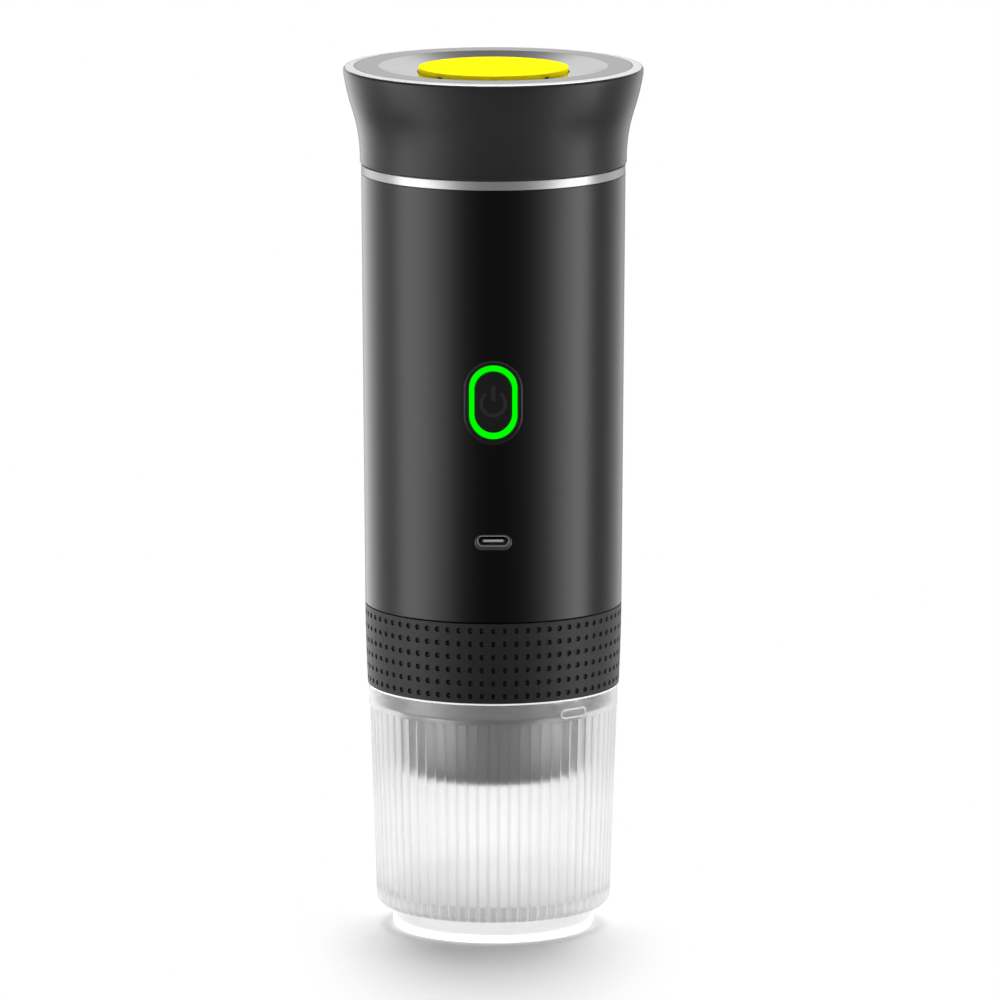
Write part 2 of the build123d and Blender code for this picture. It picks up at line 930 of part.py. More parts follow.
def vent_spring():
    """Open coil between the plug's boss and the button, one unbroken wire."""
    low = boss_top + spring_wire_radius
    pitch = (vent_underside - spring_wire_radius - low) / spring_turns
    arcs = []
    for quarter in range(4 * spring_turns):
        start, start_way = spring_place(quarter / 4, low, pitch)
        end, end_way = spring_place((quarter + 1) / 4, low, pitch)
        arcs += tangent_arc_pair(start, start_way, end, end_way)
    wire = Wire(arcs)
    start, start_way = spring_place(0, low, pitch)
    coil = sweep(Plane(origin=start, z_dir=start_way) * Circle(spring_wire_radius), path=wire)
    print("spring gap", round(spring_gap(wire), 3), "needs", spring_min_gap)
    return coil


def spring_gap(wire):
    """Least gap between neighbouring turns, from points along the wire."""
    steps = 16
    points = [wire @ (index / (steps * spring_turns)) for index in range(steps * spring_turns + 1)]
    gaps = []
    for index, point in enumerate(points):
        for other in points[index + steps // 2:]:
            gaps.append((other - point).length - 2 * spring_wire_radius)
    return min(gaps)


pieces = {
    "coffee_cup": coffee_cup,
    "grip_ring": grip_ring,
    "brew_collar": brew_collar,
    "brew_chamber": brew_chamber,
    "outlet_valve": outlet_valve,
    "coffee_basket": coffee_basket,
    "brew_seal": brew_seal,
    "base_cap": base_cap,
    "shower_screen": shower_screen,
    "base_screws": base_screws,
    "battery_tray": battery_tray,
    "battery_cells": battery_cells,
    "chassis_frame": chassis_frame,
    "outlet_tube": outlet_tube,
    "pump_head": pump_head,
    "motor_mount": motor_mount,
    "motor_can": motor_can,
    "drive_coupling": drive_coupling,
    "water_tank": water_tank,
    "heater_plate": heater_plate,
    "tank_outlet": tank_outlet,
    "inlet_hose": inlet_hose,
    "control_board": control_board,
    "tact_switch": tact_switch,
    "usb_shell": usb_shell,
    "usb_tongue": usb_tongue,
    "port_bezel": port_bezel,
    "button_bezel": button_bezel,
    "light_ring": light_ring,
    "power_button": power_button,
    "switch_plunger": switch_plunger,
    "housing_sleeve": housing_sleeve,
    "trim_ring": trim_ring,
    "lid_gasket": lid_gasket,
    "lid_collar": lid_collar,
    "lid_dish": lid_dish,
    "lid_plug": lid_plug,
    "vent_button": vent_button,
    "valve_stem": valve_stem,
    "valve_disc": valve_disc,
    "vent_spring": vent_spring,
}

os.makedirs("parts", exist_ok=True)
for name, make in pieces.items():
    export_step(make(), f"parts/{name}.step")
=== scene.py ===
from math import acos, atan2, cos, pi, radians, sin, sqrt, tan

import bmesh
import bpy
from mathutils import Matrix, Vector


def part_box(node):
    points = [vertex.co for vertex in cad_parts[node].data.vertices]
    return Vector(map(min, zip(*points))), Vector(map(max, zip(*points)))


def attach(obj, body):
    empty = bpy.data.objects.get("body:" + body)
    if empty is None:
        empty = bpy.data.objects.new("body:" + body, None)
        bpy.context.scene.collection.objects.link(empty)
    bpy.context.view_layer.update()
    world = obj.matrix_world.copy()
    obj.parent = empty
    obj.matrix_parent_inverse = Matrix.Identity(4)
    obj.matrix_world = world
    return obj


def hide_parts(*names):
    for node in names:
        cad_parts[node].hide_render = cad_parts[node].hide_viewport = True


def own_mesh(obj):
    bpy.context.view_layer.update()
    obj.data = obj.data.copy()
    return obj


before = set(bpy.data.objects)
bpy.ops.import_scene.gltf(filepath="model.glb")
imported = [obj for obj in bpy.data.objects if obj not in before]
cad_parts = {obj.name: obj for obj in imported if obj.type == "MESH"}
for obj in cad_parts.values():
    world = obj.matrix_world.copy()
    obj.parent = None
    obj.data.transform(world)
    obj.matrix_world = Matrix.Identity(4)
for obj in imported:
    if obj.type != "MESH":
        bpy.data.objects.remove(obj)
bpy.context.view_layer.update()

# Portable espresso machine. Metres, +Z up, front towards -Y, as in the CAD frame.
mm = 0.001
weld_distance = 0.0005 * mm


def low(node):
    """Height of a CAD node's underside."""
    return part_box(node)[0].z


def top(node):
    """Height of a CAD node's upper end."""
    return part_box(node)[1].z


def reach(node):
    """Outer radius of a round CAD node."""
    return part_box(node)[1].x


def centre_height(node):
    """Middle height of a CAD node."""
    return (low(node) + top(node)) / 2


# Places from the frame
cup_top = top("coffee_cup")
cup_radius = reach("coffee_cup")
grip_low = low("grip_ring")
grip_top = top("grip_ring")
body_radius_low = reach("grip_ring")
collar_radius = reach("brew_collar")
housing_low = low("housing_sleeve")
housing_top = top("housing_sleeve")
body_radius_high = reach("housing_sleeve")
trim_top = top("trim_ring")
lid_low = low("lid_collar")
lid_top = top("lid_dish")
dish_radius = reach("lid_dish")
button_level = centre_height("button_bezel")
port_level = centre_height("usb_shell")

# Cup
cup_mouth = cup_radius - 2.6 * mm
cup_rim_low = cup_top - 6.1 * mm
cup_edge_round = 0.5 * mm
cup_floor = 9.9 * mm
cup_floor_radius = 29.7 * mm
cup_floor_round = 1.0 * mm
rib_count = 70
rib_steps = 8
rib_depth = 0.45 * mm
rib_crest_high = cup_radius - 0.1 * mm
rib_crest_low = 32.3 * mm
rib_low = 7.9 * mm
rib_end_radius = 30.9 * mm
rib_end_round = 1.2 * mm
foot_height = 6.5 * mm
foot_round = 1.2 * mm
foot_radius = 27.9 * mm
foot_bevel_height = 1.6 * mm
sole_radius = 27.0 * mm
sole_inner = 23.8 * mm
sole_round = 0.4 * mm
foot_recess = 1.6 * mm
line_blend = 0.1 * mm
# Heights of the cup's painted light and shade: the grey base band's top, the white rim band, the sole edge's
# glow and the faint glow band
base_shade_top = cup_floor + 0.8 * mm
rim_highlight_low = cup_top - 0.6 * mm
sole_glow_low = foot_bevel_height - 0.6 * mm
glow_band_low = 9.0 * mm
glow_band_full = 11.0 * mm
glow_band_fade = 34.0 * mm
glow_band_top = 44.0 * mm
pip_angle = radians(-50)
pip_level = cup_top - 4.0 * mm
pip_length = 9.0 * mm
pip_width = 2.8 * mm
pip_rise = 0.4 * mm
pip_root = 0.05 * mm
pip_line = 0.5 * mm

# Grip ring
grip_radius_low = body_radius_low - 0.7 * mm
grip_belly = 0.1 * mm
grip_inner = collar_radius + 0.05 * mm
dimple_columns = 70
dimple_rows = 6
dimple_margin = 2.05 * mm
dimple_radius = 0.75 * mm
dimple_depth = 0.5 * mm
dimple_side_steps = 4
dimple_ring_shares = ((1.08, 0.0), (1.0, 0.08), (0.88, 0.5), (0.55, 0.9))
grip_round_share = 0.8
# Depths below the ring's outside where the painted shade in the dimples starts and is full
pit_shade_start = 0.08 * mm
pit_shade_full = 0.3 * mm

# Brew chamber and collar
chamber_radius = 25.0 * mm
chamber_belly = 25.5 * mm
chamber_wall = 1.5 * mm
chamber_round = 4.5 * mm
chamber_inner_round = 1.2 * mm
chamber_flange = 2.2 * mm
belly_level = cup_top - 1.0 * mm
outlet_radius = 1.5 * mm
spigot_radius = cup_mouth - 0.3 * mm
spigot_bore = spigot_radius - 2.0 * mm
spigot_round = 0.5 * mm
collar_bore = collar_radius - 2.0 * mm
collar_round = 0.3 * mm
ledge_low = cup_top + 3.6 * mm
ledge_top = ledge_low + 4.0 * mm
ledge_bore = chamber_radius + 0.05 * mm

# Body
housing_wall = 1.2 * mm
body_edge_round = 0.25 * mm
opening_slack = 0.05 * mm
opening_overrun = 2.0 * mm
opening_depth = 10.0 * mm
trim_bore = body_radius_high - 6.7 * mm
trim_round = 0.2 * mm

# Lid
lid_radius_low = body_radius_high + 0.35 * mm
lid_radius = reach("lid_collar") - 0.02 * mm
lid_bore = lid_radius_low - 3.0 * mm
lid_edge = 0.4 * mm
flare_low = lid_low + 1.3 * mm
flare_middle_share = 0.48
flare_rise_share = 0.56
shoulder_share = 0.933
shoulder_round = 0.25 * mm
seat_width = 2.4 * mm
stop_low = top("lid_plug") - 4.5 * mm
stop_height = 2.0 * mm
stop_bore = lid_bore - 2.2 * mm
dish_rim = dish_radius + 0.4 * mm
dish_recess = dish_rim + 0.05 * mm
dish_ring_outer = dish_radius - 2.2 * mm
dish_ring_inner = dish_radius - 8.65 * mm
dish_bevel_drop = 0.3 * mm
lid_chamfer_low = lid_top - 0.85 * mm
dish_floor = lid_top - 1.7 * mm
dish_sheet = 0.8 * mm
dish_seat = lid_top - dish_sheet
dish_edge_round = 0.1 * mm
bevel_round = 0.6 * mm
slope_round = 0.4 * mm
dish_floor_round = 3.0 * mm
slope_blend = 0.5 * mm
bevel_blend = 0.1 * mm
# Width of the full part of the painted groove shade on each side of where the flat ring meets the bevel
groove_shade_width = 0.15 * mm
vent_radius = 20.6 * mm
vent_bore = vent_radius - 1.4 * mm
vent_catch = 1.3 * mm
vent_round = 0.2 * mm
vent_cap_top = top("vent_button") - 0.2 * mm
vent_underside = vent_cap_top - 1.6 * mm
coil_low = low("vent_spring")
coil_top = vent_underside - 0.05 * mm
coil_wire = 0.5 * mm
coil_turns = 6
coil_steps = 192
coil_sides = 8
guide_bore = vent_radius + 0.3 * mm
dish_floor_radius = vent_radius + 3.0 * mm
notch_width = 3.0 * mm
notch_reach = 1.1 * mm
notch_depth = 2.0 * mm
notch_overrun = 1.0 * mm
notch_count = 4
# Depths below the dish floor where its painted shade starts and is full
notch_shade_start = 0.05 * mm
notch_shade_full = 0.3 * mm
# Half size and soft edge of the painted shade arches on the vent cap
slot_shade_half = 0.7 * mm
slot_shade_blend = 0.2 * mm

# Screw ridges, within the running gaps
ridge_half = 0.55 * mm
ridge_height = 0.2 * mm
ridge_root = 0.1 * mm
ridge_margin = 1.2 * mm
ridge_fade_share = 1 / 12
ridge_steps = 96
neck_radius = collar_radius - 2.3 * mm
neck_low = low("base_cap") + ridge_margin
neck_turns = 3
plug_radius = body_radius_high - housing_wall - 5.8 * mm
plug_low = low("lid_plug") + 1.4 * mm
plug_turns = 2

# Power button; every upright pill has the same straight run
button_straight = 7.0 * mm
button_depth = 2.5 * mm
button_edge = 0.15 * mm
rim_width = 0.55 * mm
rim_depth = 0.5 * mm
rim_edge_recess = 0.12 * mm
rim_crest_inset = 0.1 * mm
rim_crest_recess = 0.06 * mm
light_edge = 0.1 * mm
light_slack = 0.05 * mm
light_margin = 0.12 * mm
bezel_half = 8.15 * mm
bezel_recess = 0.4 * mm
light_half = 6.7 * mm
light_recess = 0.5 * mm
cap_opening_half = 5.05 * mm
cap_half = cap_opening_half - 0.15 * mm
cap_recess = 0.6 * mm
symbol_radius = 3.3 * mm
symbol_line = 0.95 * mm
symbol_bar = 1.2 * mm
symbol_gap = radians(36)
symbol_rise = 0.03 * mm
symbol_drop = 0.25 * mm
symbol_bar_shares = (0.18, 0.8, 1.43)
symbol_steps = 40

# Charging socket; every level pill has its own straight run
shell_half_width = 4.47 * mm
shell_half_height = 1.55 * mm
shell_wall = 0.3 * mm
shell_recess = 0.3 * mm
shell_depth = 8.0 * mm
shell_edge = 0.08 * mm
port_half_width = 5.15 * mm
port_half_height = 2.15 * mm
port_slope = 0.5 * mm
port_drop = 0.35 * mm
port_depth = 4.0 * mm
port_edge = 0.12 * mm
port_slack = 0.05 * mm
tongue_half = 2.75 * mm
tongue_blend = 0.1 * mm
tongue_dark_low = port_level + 0.32 * mm
tongue_dark_full = port_level + 0.34 * mm

# Studio, in metres; a strip has its angle from the front, lower end, and brightness on the left and right
strips = (
    (28, -0.85, 0.2, 0.1), (46, -0.85, 2.0, 0.8), (64, -0.85, 3.9, 3.3), (82, -0.42, 4.6, 5.9),
    (100, -0.25, 0.8, 0.2), (118, -0.25, 1.0, 0.5), (136, -0.25, 2.2, 1.0), (154, -0.25, 2.5, 1.4),
)
strip_distance = 1.25
strip_width = 0.4
strip_top = 0.45
overhead_place = (0.15, 0.65)
overhead_level = 1.6
overhead_size = (1.4, 1.3)
overhead_brightness = 6.8
floor_half = 0.22
shadow_near = 0.03
shadow_far = 0.11
# Radius of the floor's full painted glow under the cup's foot
under_cup_glow_radius = 0.024
camera_place = (1.83 * mm, -2957 * mm, 631.5 * mm)
camera_tilt = radians(9.831)
camera_lens = 391.5


def body_radius(level):
    """Outside radius of the tapered body at one height."""
    share = (level - housing_low) / (housing_top - housing_low)
    return body_radius_low + (body_radius_high - body_radius_low) * share


def grip_radius(share):
    """Outside radius of the grip ring at a share of its height, for a number or a node's value."""
    swell = 4 * grip_belly * share * (1 - share)
    return grip_radius_low + (body_radius_low - grip_radius_low) * share + swell


# Outlines of (radius, height) points
def rounded(corners, steps=6):
    """Chain of points; a corner with a third value is rounded by that radius."""
    chain = []
    for index, corner in enumerate(corners):
        here = Vector(corner[:2])
        if len(corner) < 3:
            chain.append(here)
            continue
        back = (Vector(corners[index - 1][:2]) - here).normalized()
        onward = (Vector(corners[(index + 1) % len(corners)][:2]) - here).normalized()
        half = acos(back.dot(onward)) / 2
        hub = here + (back + onward).normalized() * (corner[2] / sin(half))
        start = here + back * (corner[2] / tan(half)) - hub
        end = here + onward * (corner[2] / tan(half)) - hub
        first = atan2(start.y, start.x)
        turn = (atan2(end.y, end.x) - first + pi) % (2 * pi) - pi
        for step in range(steps + 1):
            angle = first + turn * step / steps
            chain.append(hub + Vector((cos(angle), sin(angle))) * corner[2])
    return chain


def bend(start, way, end, steps=16):
    """Points of the arc that leaves a start along a way and reaches an end, and its way there."""
    chord = end - start
    angle = atan2(way.x * chord.y - way.y * chord.x, way.dot(chord))

    def turned(share):
        return Vector((way.x * cos(share) - way.y * sin(share), way.x * sin(share) + way.y * cos(share)))

    arc = [start]
    for step in range(1, steps + 1):
        share = angle * step / steps
        arc.append(start + turned(share) * chord.length * sin(share) / sin(angle))
    return arc, turned(2 * angle)


# Meshes
def add_object(name, data):
    """New object in the scene."""
    obj = bpy.data.objects.new(name, data)
    bpy.context.scene.collection.objects.link(obj)
    return obj


def new_mesh(name, points, faces):
    """Mesh of points and faces, as they are."""
    mesh = bpy.data.meshes.new(name)
    mesh.from_pydata(points, [], faces)
    return mesh


def bridged(name, loops, closed=False):
    """Mesh that bridges loops of points in turn; a loop of one point is a pole."""
    points = []
    starts = []
    for loop in loops:
        starts.append(len(points))
        points.extend(loop)
    count = max(len(loop) for loop in loops)
    faces = []
    for index in range(len(loops) if closed else len(loops) - 1):
        other = (index + 1) % len(loops)
        for step in range(count):
            corners = [starts[a] + b % len(loops[a]) for a, b in
                       ((index, step), (index, step + 1), (other, step + 1), (other, step))]
            corners = list(dict.fromkeys(corners))
            if len(corners) > 2:
                faces.append(corners)
    return new_mesh(name, points, faces)


def skin(name, loops, closed=False):
    """Finished mesh that bridges loops."""
    return neat(bridged(name, loops, closed))


def tube(name, loops):
    """Finished mesh along loops, closed at both ends."""
    first, last = [
        tuple(sum(values) / len(loop) for values in zip(*loop))
        for loop in (loops[0], loops[-1])
    ]
    return skin(name, [[first], *loops, [last]])


def neat(mesh, sharp=radians(32)):
    """Merged, outward and smooth mesh, with its sharp edges kept."""
    shape = bmesh.new()
    shape.from_mesh(mesh)
    bmesh.ops.remove_doubles(shape, verts=shape.verts, dist=weld_distance)
    bmesh.ops.dissolve_degenerate(shape, edges=shape.edges, dist=weld_distance)
    bmesh.ops.recalc_face_normals(shape, faces=shape.faces)
    shape.to_mesh(mesh)
    shape.free()
    mesh.polygons.foreach_set("use_smooth", [True] * len(mesh.polygons))
    mesh.set_sharp_from_angle(angle=sharp)
    return mesh


def joined(name, *meshes):
    """One mesh from several, with the edges that meet merged."""
    shape = bmesh.new()
    for mesh in meshes:
        shape.from_mesh(mesh)
    mesh = bpy.data.meshes.new(name)
    shape.to_mesh(mesh)
    shape.free()
    return neat(mesh)


def circle(radius, height, segments, start=0.0):
    """Loop of points round Z, or one point on the axis."""
    if radius < weld_distance:
        return [(0, 0, height)]
    angles = [start + 2 * pi * step / segments for step in range(segments)]
    return [(radius * cos(angle), radius * sin(angle), height) for angle in angles]


def lathe(name, outline, closed=True, segments=256, start=0.0):
    """Body of revolution about Z."""
    return skin(name, [circle(radius, height, segments, start) for radius, height in outline], closed)


def pill(half_width, half_height, steps=16):
    """Points (across, up) round a slot with round ends, upright or level."""
    radius = min(half_width, half_height)
    points = []
    for quarter, (across, up) in enumerate(((1, 1), (-1, 1), (-1, -1), (1, -1))):
        for step in range(steps + 1):
            angle = pi / 2 * (quarter + step / steps)
            points.append((
                across * (half_width - radius) + radius * cos(angle),
                up * (half_height - radius) + radius * sin(angle),
            ))
    return points


def front_loop(half_width, half_height, level, recess):
    """Pill that lies a recess below the body's round front."""
    loop = []
    for across, up in pill(half_width, half_height):
        radius = body_radius(level + up) - recess
        loop.append((across, -sqrt(radius * radius - across * across), level + up))
    return loop


def cut(mesh, *cutters):
    """Mesh with other closed meshes taken away from it."""
    body = add_object("cut_body", mesh)
    helpers = [add_object("cutter", cutter) for cutter in cutters]
    for helper in helpers:
        modifier = body.modifiers.new("cut", "BOOLEAN")
        modifier.operation = "DIFFERENCE"
        modifier.solver = "EXACT"
        modifier.object = helper
    result = evaluated(body)
    for helper in helpers:
        bpy.data.objects.remove(helper)
    return neat(result)


def evaluated(body):
    """Mesh of a helper object with its modifiers applied; the helper goes."""
    graph = bpy.context.evaluated_depsgraph_get()
    result = bpy.data.meshes.new_from_object(body.evaluated_get(graph))
    bpy.data.objects.remove(body)
    return result


# Node trees, for materials and for Geometry Nodes
def operation(kind, swapped=False):
    """Method that joins a value with others in one maths node."""
    def method(self, *others):
        values = (*others, self) if swapped else (self, *others)
        return self.graph.add("ShaderNodeMath", {"operation": kind}, dict(enumerate(values)))

    return method


class Value:
    """A node's output that takes part in sums."""

    def __init__(self, graph, socket):
        self.graph = graph
        self.socket = socket

    __add__ = operation("ADD")
    __radd__ = operation("ADD", swapped=True)
    __sub__ = operation("SUBTRACT")
    __rsub__ = operation("SUBTRACT", swapped=True)
    __mul__ = operation("MULTIPLY")
    __rmul__ = operation("MULTIPLY", swapped=True)
    __truediv__ = operation("DIVIDE")
    __rtruediv__ = operation("DIVIDE", swapped=True)
    remainder = operation("FLOORED_MODULO")
    angle_from = operation("ARCTAN2")
    larger = operation("MAXIMUM")
    size = operation("ABSOLUTE")
    floor = operation("FLOOR")
    root = operation("SQRT")
    sine = operation("SINE")
    cosine = operation("COSINE")


class Graph:
    """A node tree and the one way its nodes are made."""

    def __init__(self, tree):
        self.tree = tree

    def add(self, kind, settings=None, inputs=None, output=0):
        """New node: its settings first, then the values or links of its sockets."""
        node = self.tree.nodes.new(kind)
        for name, value in (settings or {}).items():
            setattr(node, name, value)
        for name, value in (inputs or {}).items():
            if isinstance(value, Value):
                self.tree.links.new(value.socket, node.inputs[name])
            else:
                node.inputs[name].default_value = value
        return Value(self, node.outputs[output]) if node.outputs else node

    def through(self):
        """1 for a ray that comes through the cup."""
        return self.add("ShaderNodeLightPath", {}, {}, "Is Transmission Ray")

    def seen(self):
        """1 for a ray that comes straight from the camera or through the cup."""
        camera = self.add("ShaderNodeLightPath", {}, {}, "Is Camera Ray")
        return camera.larger(self.through())

    def mirrored(self):
        """1 for a ray that a surface reflected."""
        glossy = self.add("ShaderNodeLightPath", {}, {}, "Is Glossy Ray")
        return glossy * (1 - self.through())

    def ramp(self, value, start, end, low_level=0.0, high_level=1.0):
        """Smooth rise from one level to another as a value goes from start to end."""
        return self.add("ShaderNodeMapRange", {"interpolation_type": "SMOOTHSTEP"}, {
            "Value": value, "From Min": start, "From Max": end, "To Min": low_level, "To Max": high_level,
        })

    def parts(self, vector):
        """The X, Y and Z of a vector."""
        first = self.add("ShaderNodeSeparateXYZ", {}, {"Vector": vector})
        return [Value(self, socket) for socket in first.socket.node.outputs]


# Geometry Nodes
def shape_graph(name, sockets):
    """Geometry tree with named inputs, and those inputs."""
    tree = bpy.data.node_groups.new(name, "GeometryNodeTree")
    tree.interface.new_socket("Geometry", in_out="OUTPUT", socket_type="NodeSocketGeometry")
    for label, kind in sockets.items():
        tree.interface.new_socket(label, in_out="INPUT", socket_type="NodeSocket" + kind)
    graph = Graph(tree)
    first = graph.add("NodeGroupInput")
    outputs = first.socket.node.outputs
    return graph, {label: Value(graph, outputs[label]) for label in sockets}


def end_shape(graph, geometry, material):
    """Merges what was realized, gives it its material and ends the tree."""
    merged = graph.add("GeometryNodeMergeByDistance", {}, {"Geometry": geometry, "Distance": weld_distance})
    dressed = graph.add("GeometryNodeSetMaterial", {}, {"Geometry": merged, "Material": material})
    graph.add("NodeGroupOutput", {}, {"Geometry": dressed})


def ring_of_copies():
    """Tree that turns copies of a shape about Z, evenly."""
    graph, given = shape_graph("ring_of_copies", {
        "Geometry": "Geometry", "Count": "Int", "Material": "Material",
    })
    points = graph.add("GeometryNodePoints", {}, {"Count": given["Count"]})
    angle = graph.add("GeometryNodeInputIndex") * (2 * pi) / given["Count"]
    turn = graph.add("ShaderNodeCombineXYZ", {}, {"Z": angle})
    copies = graph.add("GeometryNodeInstanceOnPoints", {}, {
        "Points": points, "Instance": given["Geometry"], "Rotation": turn,
    })
    real = graph.add("GeometryNodeRealizeInstances", {}, {"Geometry": copies})
    end_shape(graph, real, given["Material"])
    return graph.tree


def dimpled_sleeve():
    """Tree that sets a flat cell in rows and columns and rolls the sheet into the grip ring."""
    graph, given = shape_graph("dimpled_sleeve", {
        "Geometry": "Geometry", "Columns": "Int", "Rows": "Int", "Low": "Float", "High": "Float",
        "Margin": "Float", "Radius Low": "Float", "Radius High": "Float", "Belly": "Float",
        "Material": "Material",
    })
    index = graph.add("GeometryNodeInputIndex")
    row = (index / given["Columns"]).floor()
    column = index - row * given["Columns"]
    place = graph.add("ShaderNodeCombineXYZ", {}, {"X": column, "Y": row})
    count = given["Columns"] * given["Rows"]
    points = graph.add("GeometryNodePoints", {}, {"Count": count, "Position": place})
    cells = graph.add("GeometryNodeInstanceOnPoints", {}, {"Points": points, "Instance": given["Geometry"]})
    sheet = graph.add("GeometryNodeRealizeInstances", {}, {"Geometry": cells})
    across, up, out = graph.parts(graph.add("GeometryNodeInputPosition"))
    angle = across * (2 * pi) / given["Columns"] - pi / 2
    height = given["High"] - given["Low"]
    pitch = (height - 2 * given["Margin"]) / (given["Rows"] - 1)
    rise = given["Margin"] + up * pitch
    share = rise / height
    swell = 4 * given["Belly"] * share * (1 - share)
    radius = given["Radius Low"] + (given["Radius High"] - given["Radius Low"]) * share + swell + out
    rolled = graph.add("ShaderNodeCombineXYZ", {}, {
        "X": radius * angle.cosine(), "Y": radius * angle.sine(), "Z": given["Low"] + rise,
    })
    sleeve = graph.add("GeometryNodeSetPosition", {}, {"Geometry": sheet, "Position": rolled})
    end_shape(graph, sleeve, given["Material"])
    return graph.tree


def grown(name, seed, tree, values):
    """Mesh that a geometry tree makes from a seed mesh and its named inputs."""
    body = add_object(name, seed)
    modifier = body.modifiers.new(name, "NODES")
    modifier.node_group = tree
    for item in tree.interface.items_tree:
        if item.in_out == "INPUT" and item.name in values:
            modifier[item.identifier] = values[item.name]
    return neat(evaluated(body))


# Materials
class Finish(Graph):
    """A material whose patterns lie on Object coordinates."""

    def __init__(self, name):
        self.material = bpy.data.materials.new(name)
        self.material.use_nodes = True
        super().__init__(self.material.node_tree)
        self.tree.nodes.clear()
        self.place = self.add("ShaderNodeTexCoord", {}, {}, "Object")

    def noise(self, scale, detail=2.0, stretch=(1, 1, 1)):
        """Soft random pattern from 0 to 1; scale is in features per metre."""
        place = self.add("ShaderNodeMapping", {}, {"Vector": self.place, "Scale": stretch})
        return self.add("ShaderNodeTexNoise", {}, {"Vector": place, "Scale": scale, "Detail": detail})

    def mix(self, share, one, other):
        """Colour between two colours."""
        inputs = {0: share, 6: one, 7: other}
        return self.add("ShaderNodeMix", {"data_type": "RGBA"}, inputs, 2)

    def grey(self, share, one, other):
        """Colour between two greys."""
        return self.mix(share, (one, one, one, 1), (other, other, other, 1))

    def bump(self, height, depth):
        """Normal of a surface whose height differs by up to a depth."""
        return self.add("ShaderNodeBump", {}, {"Height": height, "Distance": depth})

    def height(self):
        """Height of a point above the floor."""
        return self.parts(self.place)[2]

    def axis_distance(self):
        """Distance of a point from the Z axis."""
        across, along, up = self.parts(self.place)
        return (across * across + along * along).root()

    def off_middle(self, count):
        """Turn of a point from the middle of its sector, with equal sectors about Z; 0.5 at the sides."""
        across, along, up = self.parts(self.place)
        turn = along.angle_from(across) * (count / (2 * pi))
        return (turn.remainder(1.0) - 0.5).size()

    def rings(self):
        """Fine random rings about the Z axis, as a lathe leaves them."""
        return self.add("ShaderNodeTexNoise", {"noise_dimensions": "1D"}, {
            "W": self.axis_distance(), "Scale": 9000.0, "Detail": 3.0,
        })

    def surface(self, inputs):
        """Ends the material with its Principled surface."""
        shader = self.add("ShaderNodeBsdfPrincipled", {}, inputs)
        self.add("ShaderNodeOutputMaterial", {}, {"Surface": shader})
        return self.material


def painted_black(name, dark, light, specular, rough):
    """Fine-grained matt paint."""
    paint = Finish(name)
    grain = paint.noise(6000)
    cloud = paint.noise(90, 3.0)
    return paint.surface({
        "Base Color": paint.grey(cloud, dark, light),
        "Roughness": rough + 0.06 * (grain - 0.5),
        "Specular IOR Level": specular,
        "Normal": paint.bump(grain, depth=0.006 * mm),
    })


def grip_rubber():
    """Dull grained rubber, with painted shade that darkens it down in the dimples."""
    rubber = Finish("grip_rubber")
    grain = rubber.noise(3500, 3.0)
    share = (rubber.height() - grip_low) / (grip_top - grip_low)
    # Painted shade: near black deep in the dimples, where shade falls
    pit = rubber.ramp(grip_radius(share) - rubber.axis_distance(), pit_shade_start, pit_shade_full)
    return rubber.surface({
        "Base Color": rubber.mix(pit, rubber.grey(grain, 0.011, 0.025), (0.002, 0.002, 0.002, 1)),
        "Roughness": 0.44 + 0.12 * grain,
        "Specular IOR Level": 0.25,
        "Normal": rubber.bump(grain, depth=0.06 * mm),
    })


def moulded(name, colour, rough=0.42, specular=0.5):
    """Injection-moulded plastic with a faint cloud and fine grain."""
    plastic = Finish(name)
    cloud = plastic.noise(120, 3.0)
    grain = plastic.noise(7000)
    shade = tuple(0.86 * level for level in colour)
    return plastic.surface({
        "Base Color": plastic.mix(cloud, (*colour, 1), (*shade, 1)),
        "Roughness": rough + 0.08 * (grain - 0.5),
        "Specular IOR Level": specular,
        "Normal": plastic.bump(grain, depth=0.004 * mm),
    })


def turned_steel():
    """Steel turned on a lathe: fine rings that differ a little in sheen."""
    steel = Finish("steel")
    rings = steel.rings()
    return steel.surface({
        "Base Color": steel.grey(rings, 0.6, 0.528),
        "Metallic": 1.0,
        "Roughness": 0.3 + 0.05 * (rings - 0.5),
    })


def satin_grey():
    """Grey plastic with a metallic flake."""
    satin = Finish("satin_grey")
    flake = satin.noise(4000, 3.0)
    return satin.surface({
        "Base Color": satin.grey(flake, 0.16, 0.19),
        "Metallic": 0.9,
        "Roughness": 0.4 + 0.1 * flake,
    })


def dish_metal():
    """Metal lid face: brushed flat ring, smoother slope, duller bevel, a thin painted shade line where the
    ring meets the bevel, and painted shade, near black, in the notches and below.
    """
    sheet = Finish("dish_metal")
    radius = sheet.axis_distance()
    rings = sheet.rings()
    inside = sheet.ramp(radius, dish_ring_inner - slope_blend, dish_ring_inner)
    outside = sheet.ramp(radius, dish_ring_outer - bevel_blend, dish_ring_outer + bevel_blend)
    brushed = inside * (1 - outside)
    # Painted shade: near black and not metallic in the notches and below the dish floor; this mask is 1 on
    # the unshaded metal
    floor = sheet.ramp(sheet.height(), dish_floor - notch_shade_full, dish_floor - notch_shade_start)
    # Painted shade of a fine groove: a thin darker ring where the flat ring meets the bevel
    line = sheet.ramp((radius - dish_ring_outer).size(), groove_shade_width, 2 * groove_shade_width, 0.4, 0.0)
    level = (0.95 - 0.44 * brushed - line) * (0.94 + 0.06 * rings)
    return sheet.surface({
        "Base Color": sheet.grey(floor * level, 0.005, 1.0),
        "Metallic": floor,
        "Roughness": 0.13 + 0.05 * brushed + 0.19 * outside + 0.03 * (rings - 0.5),
    })


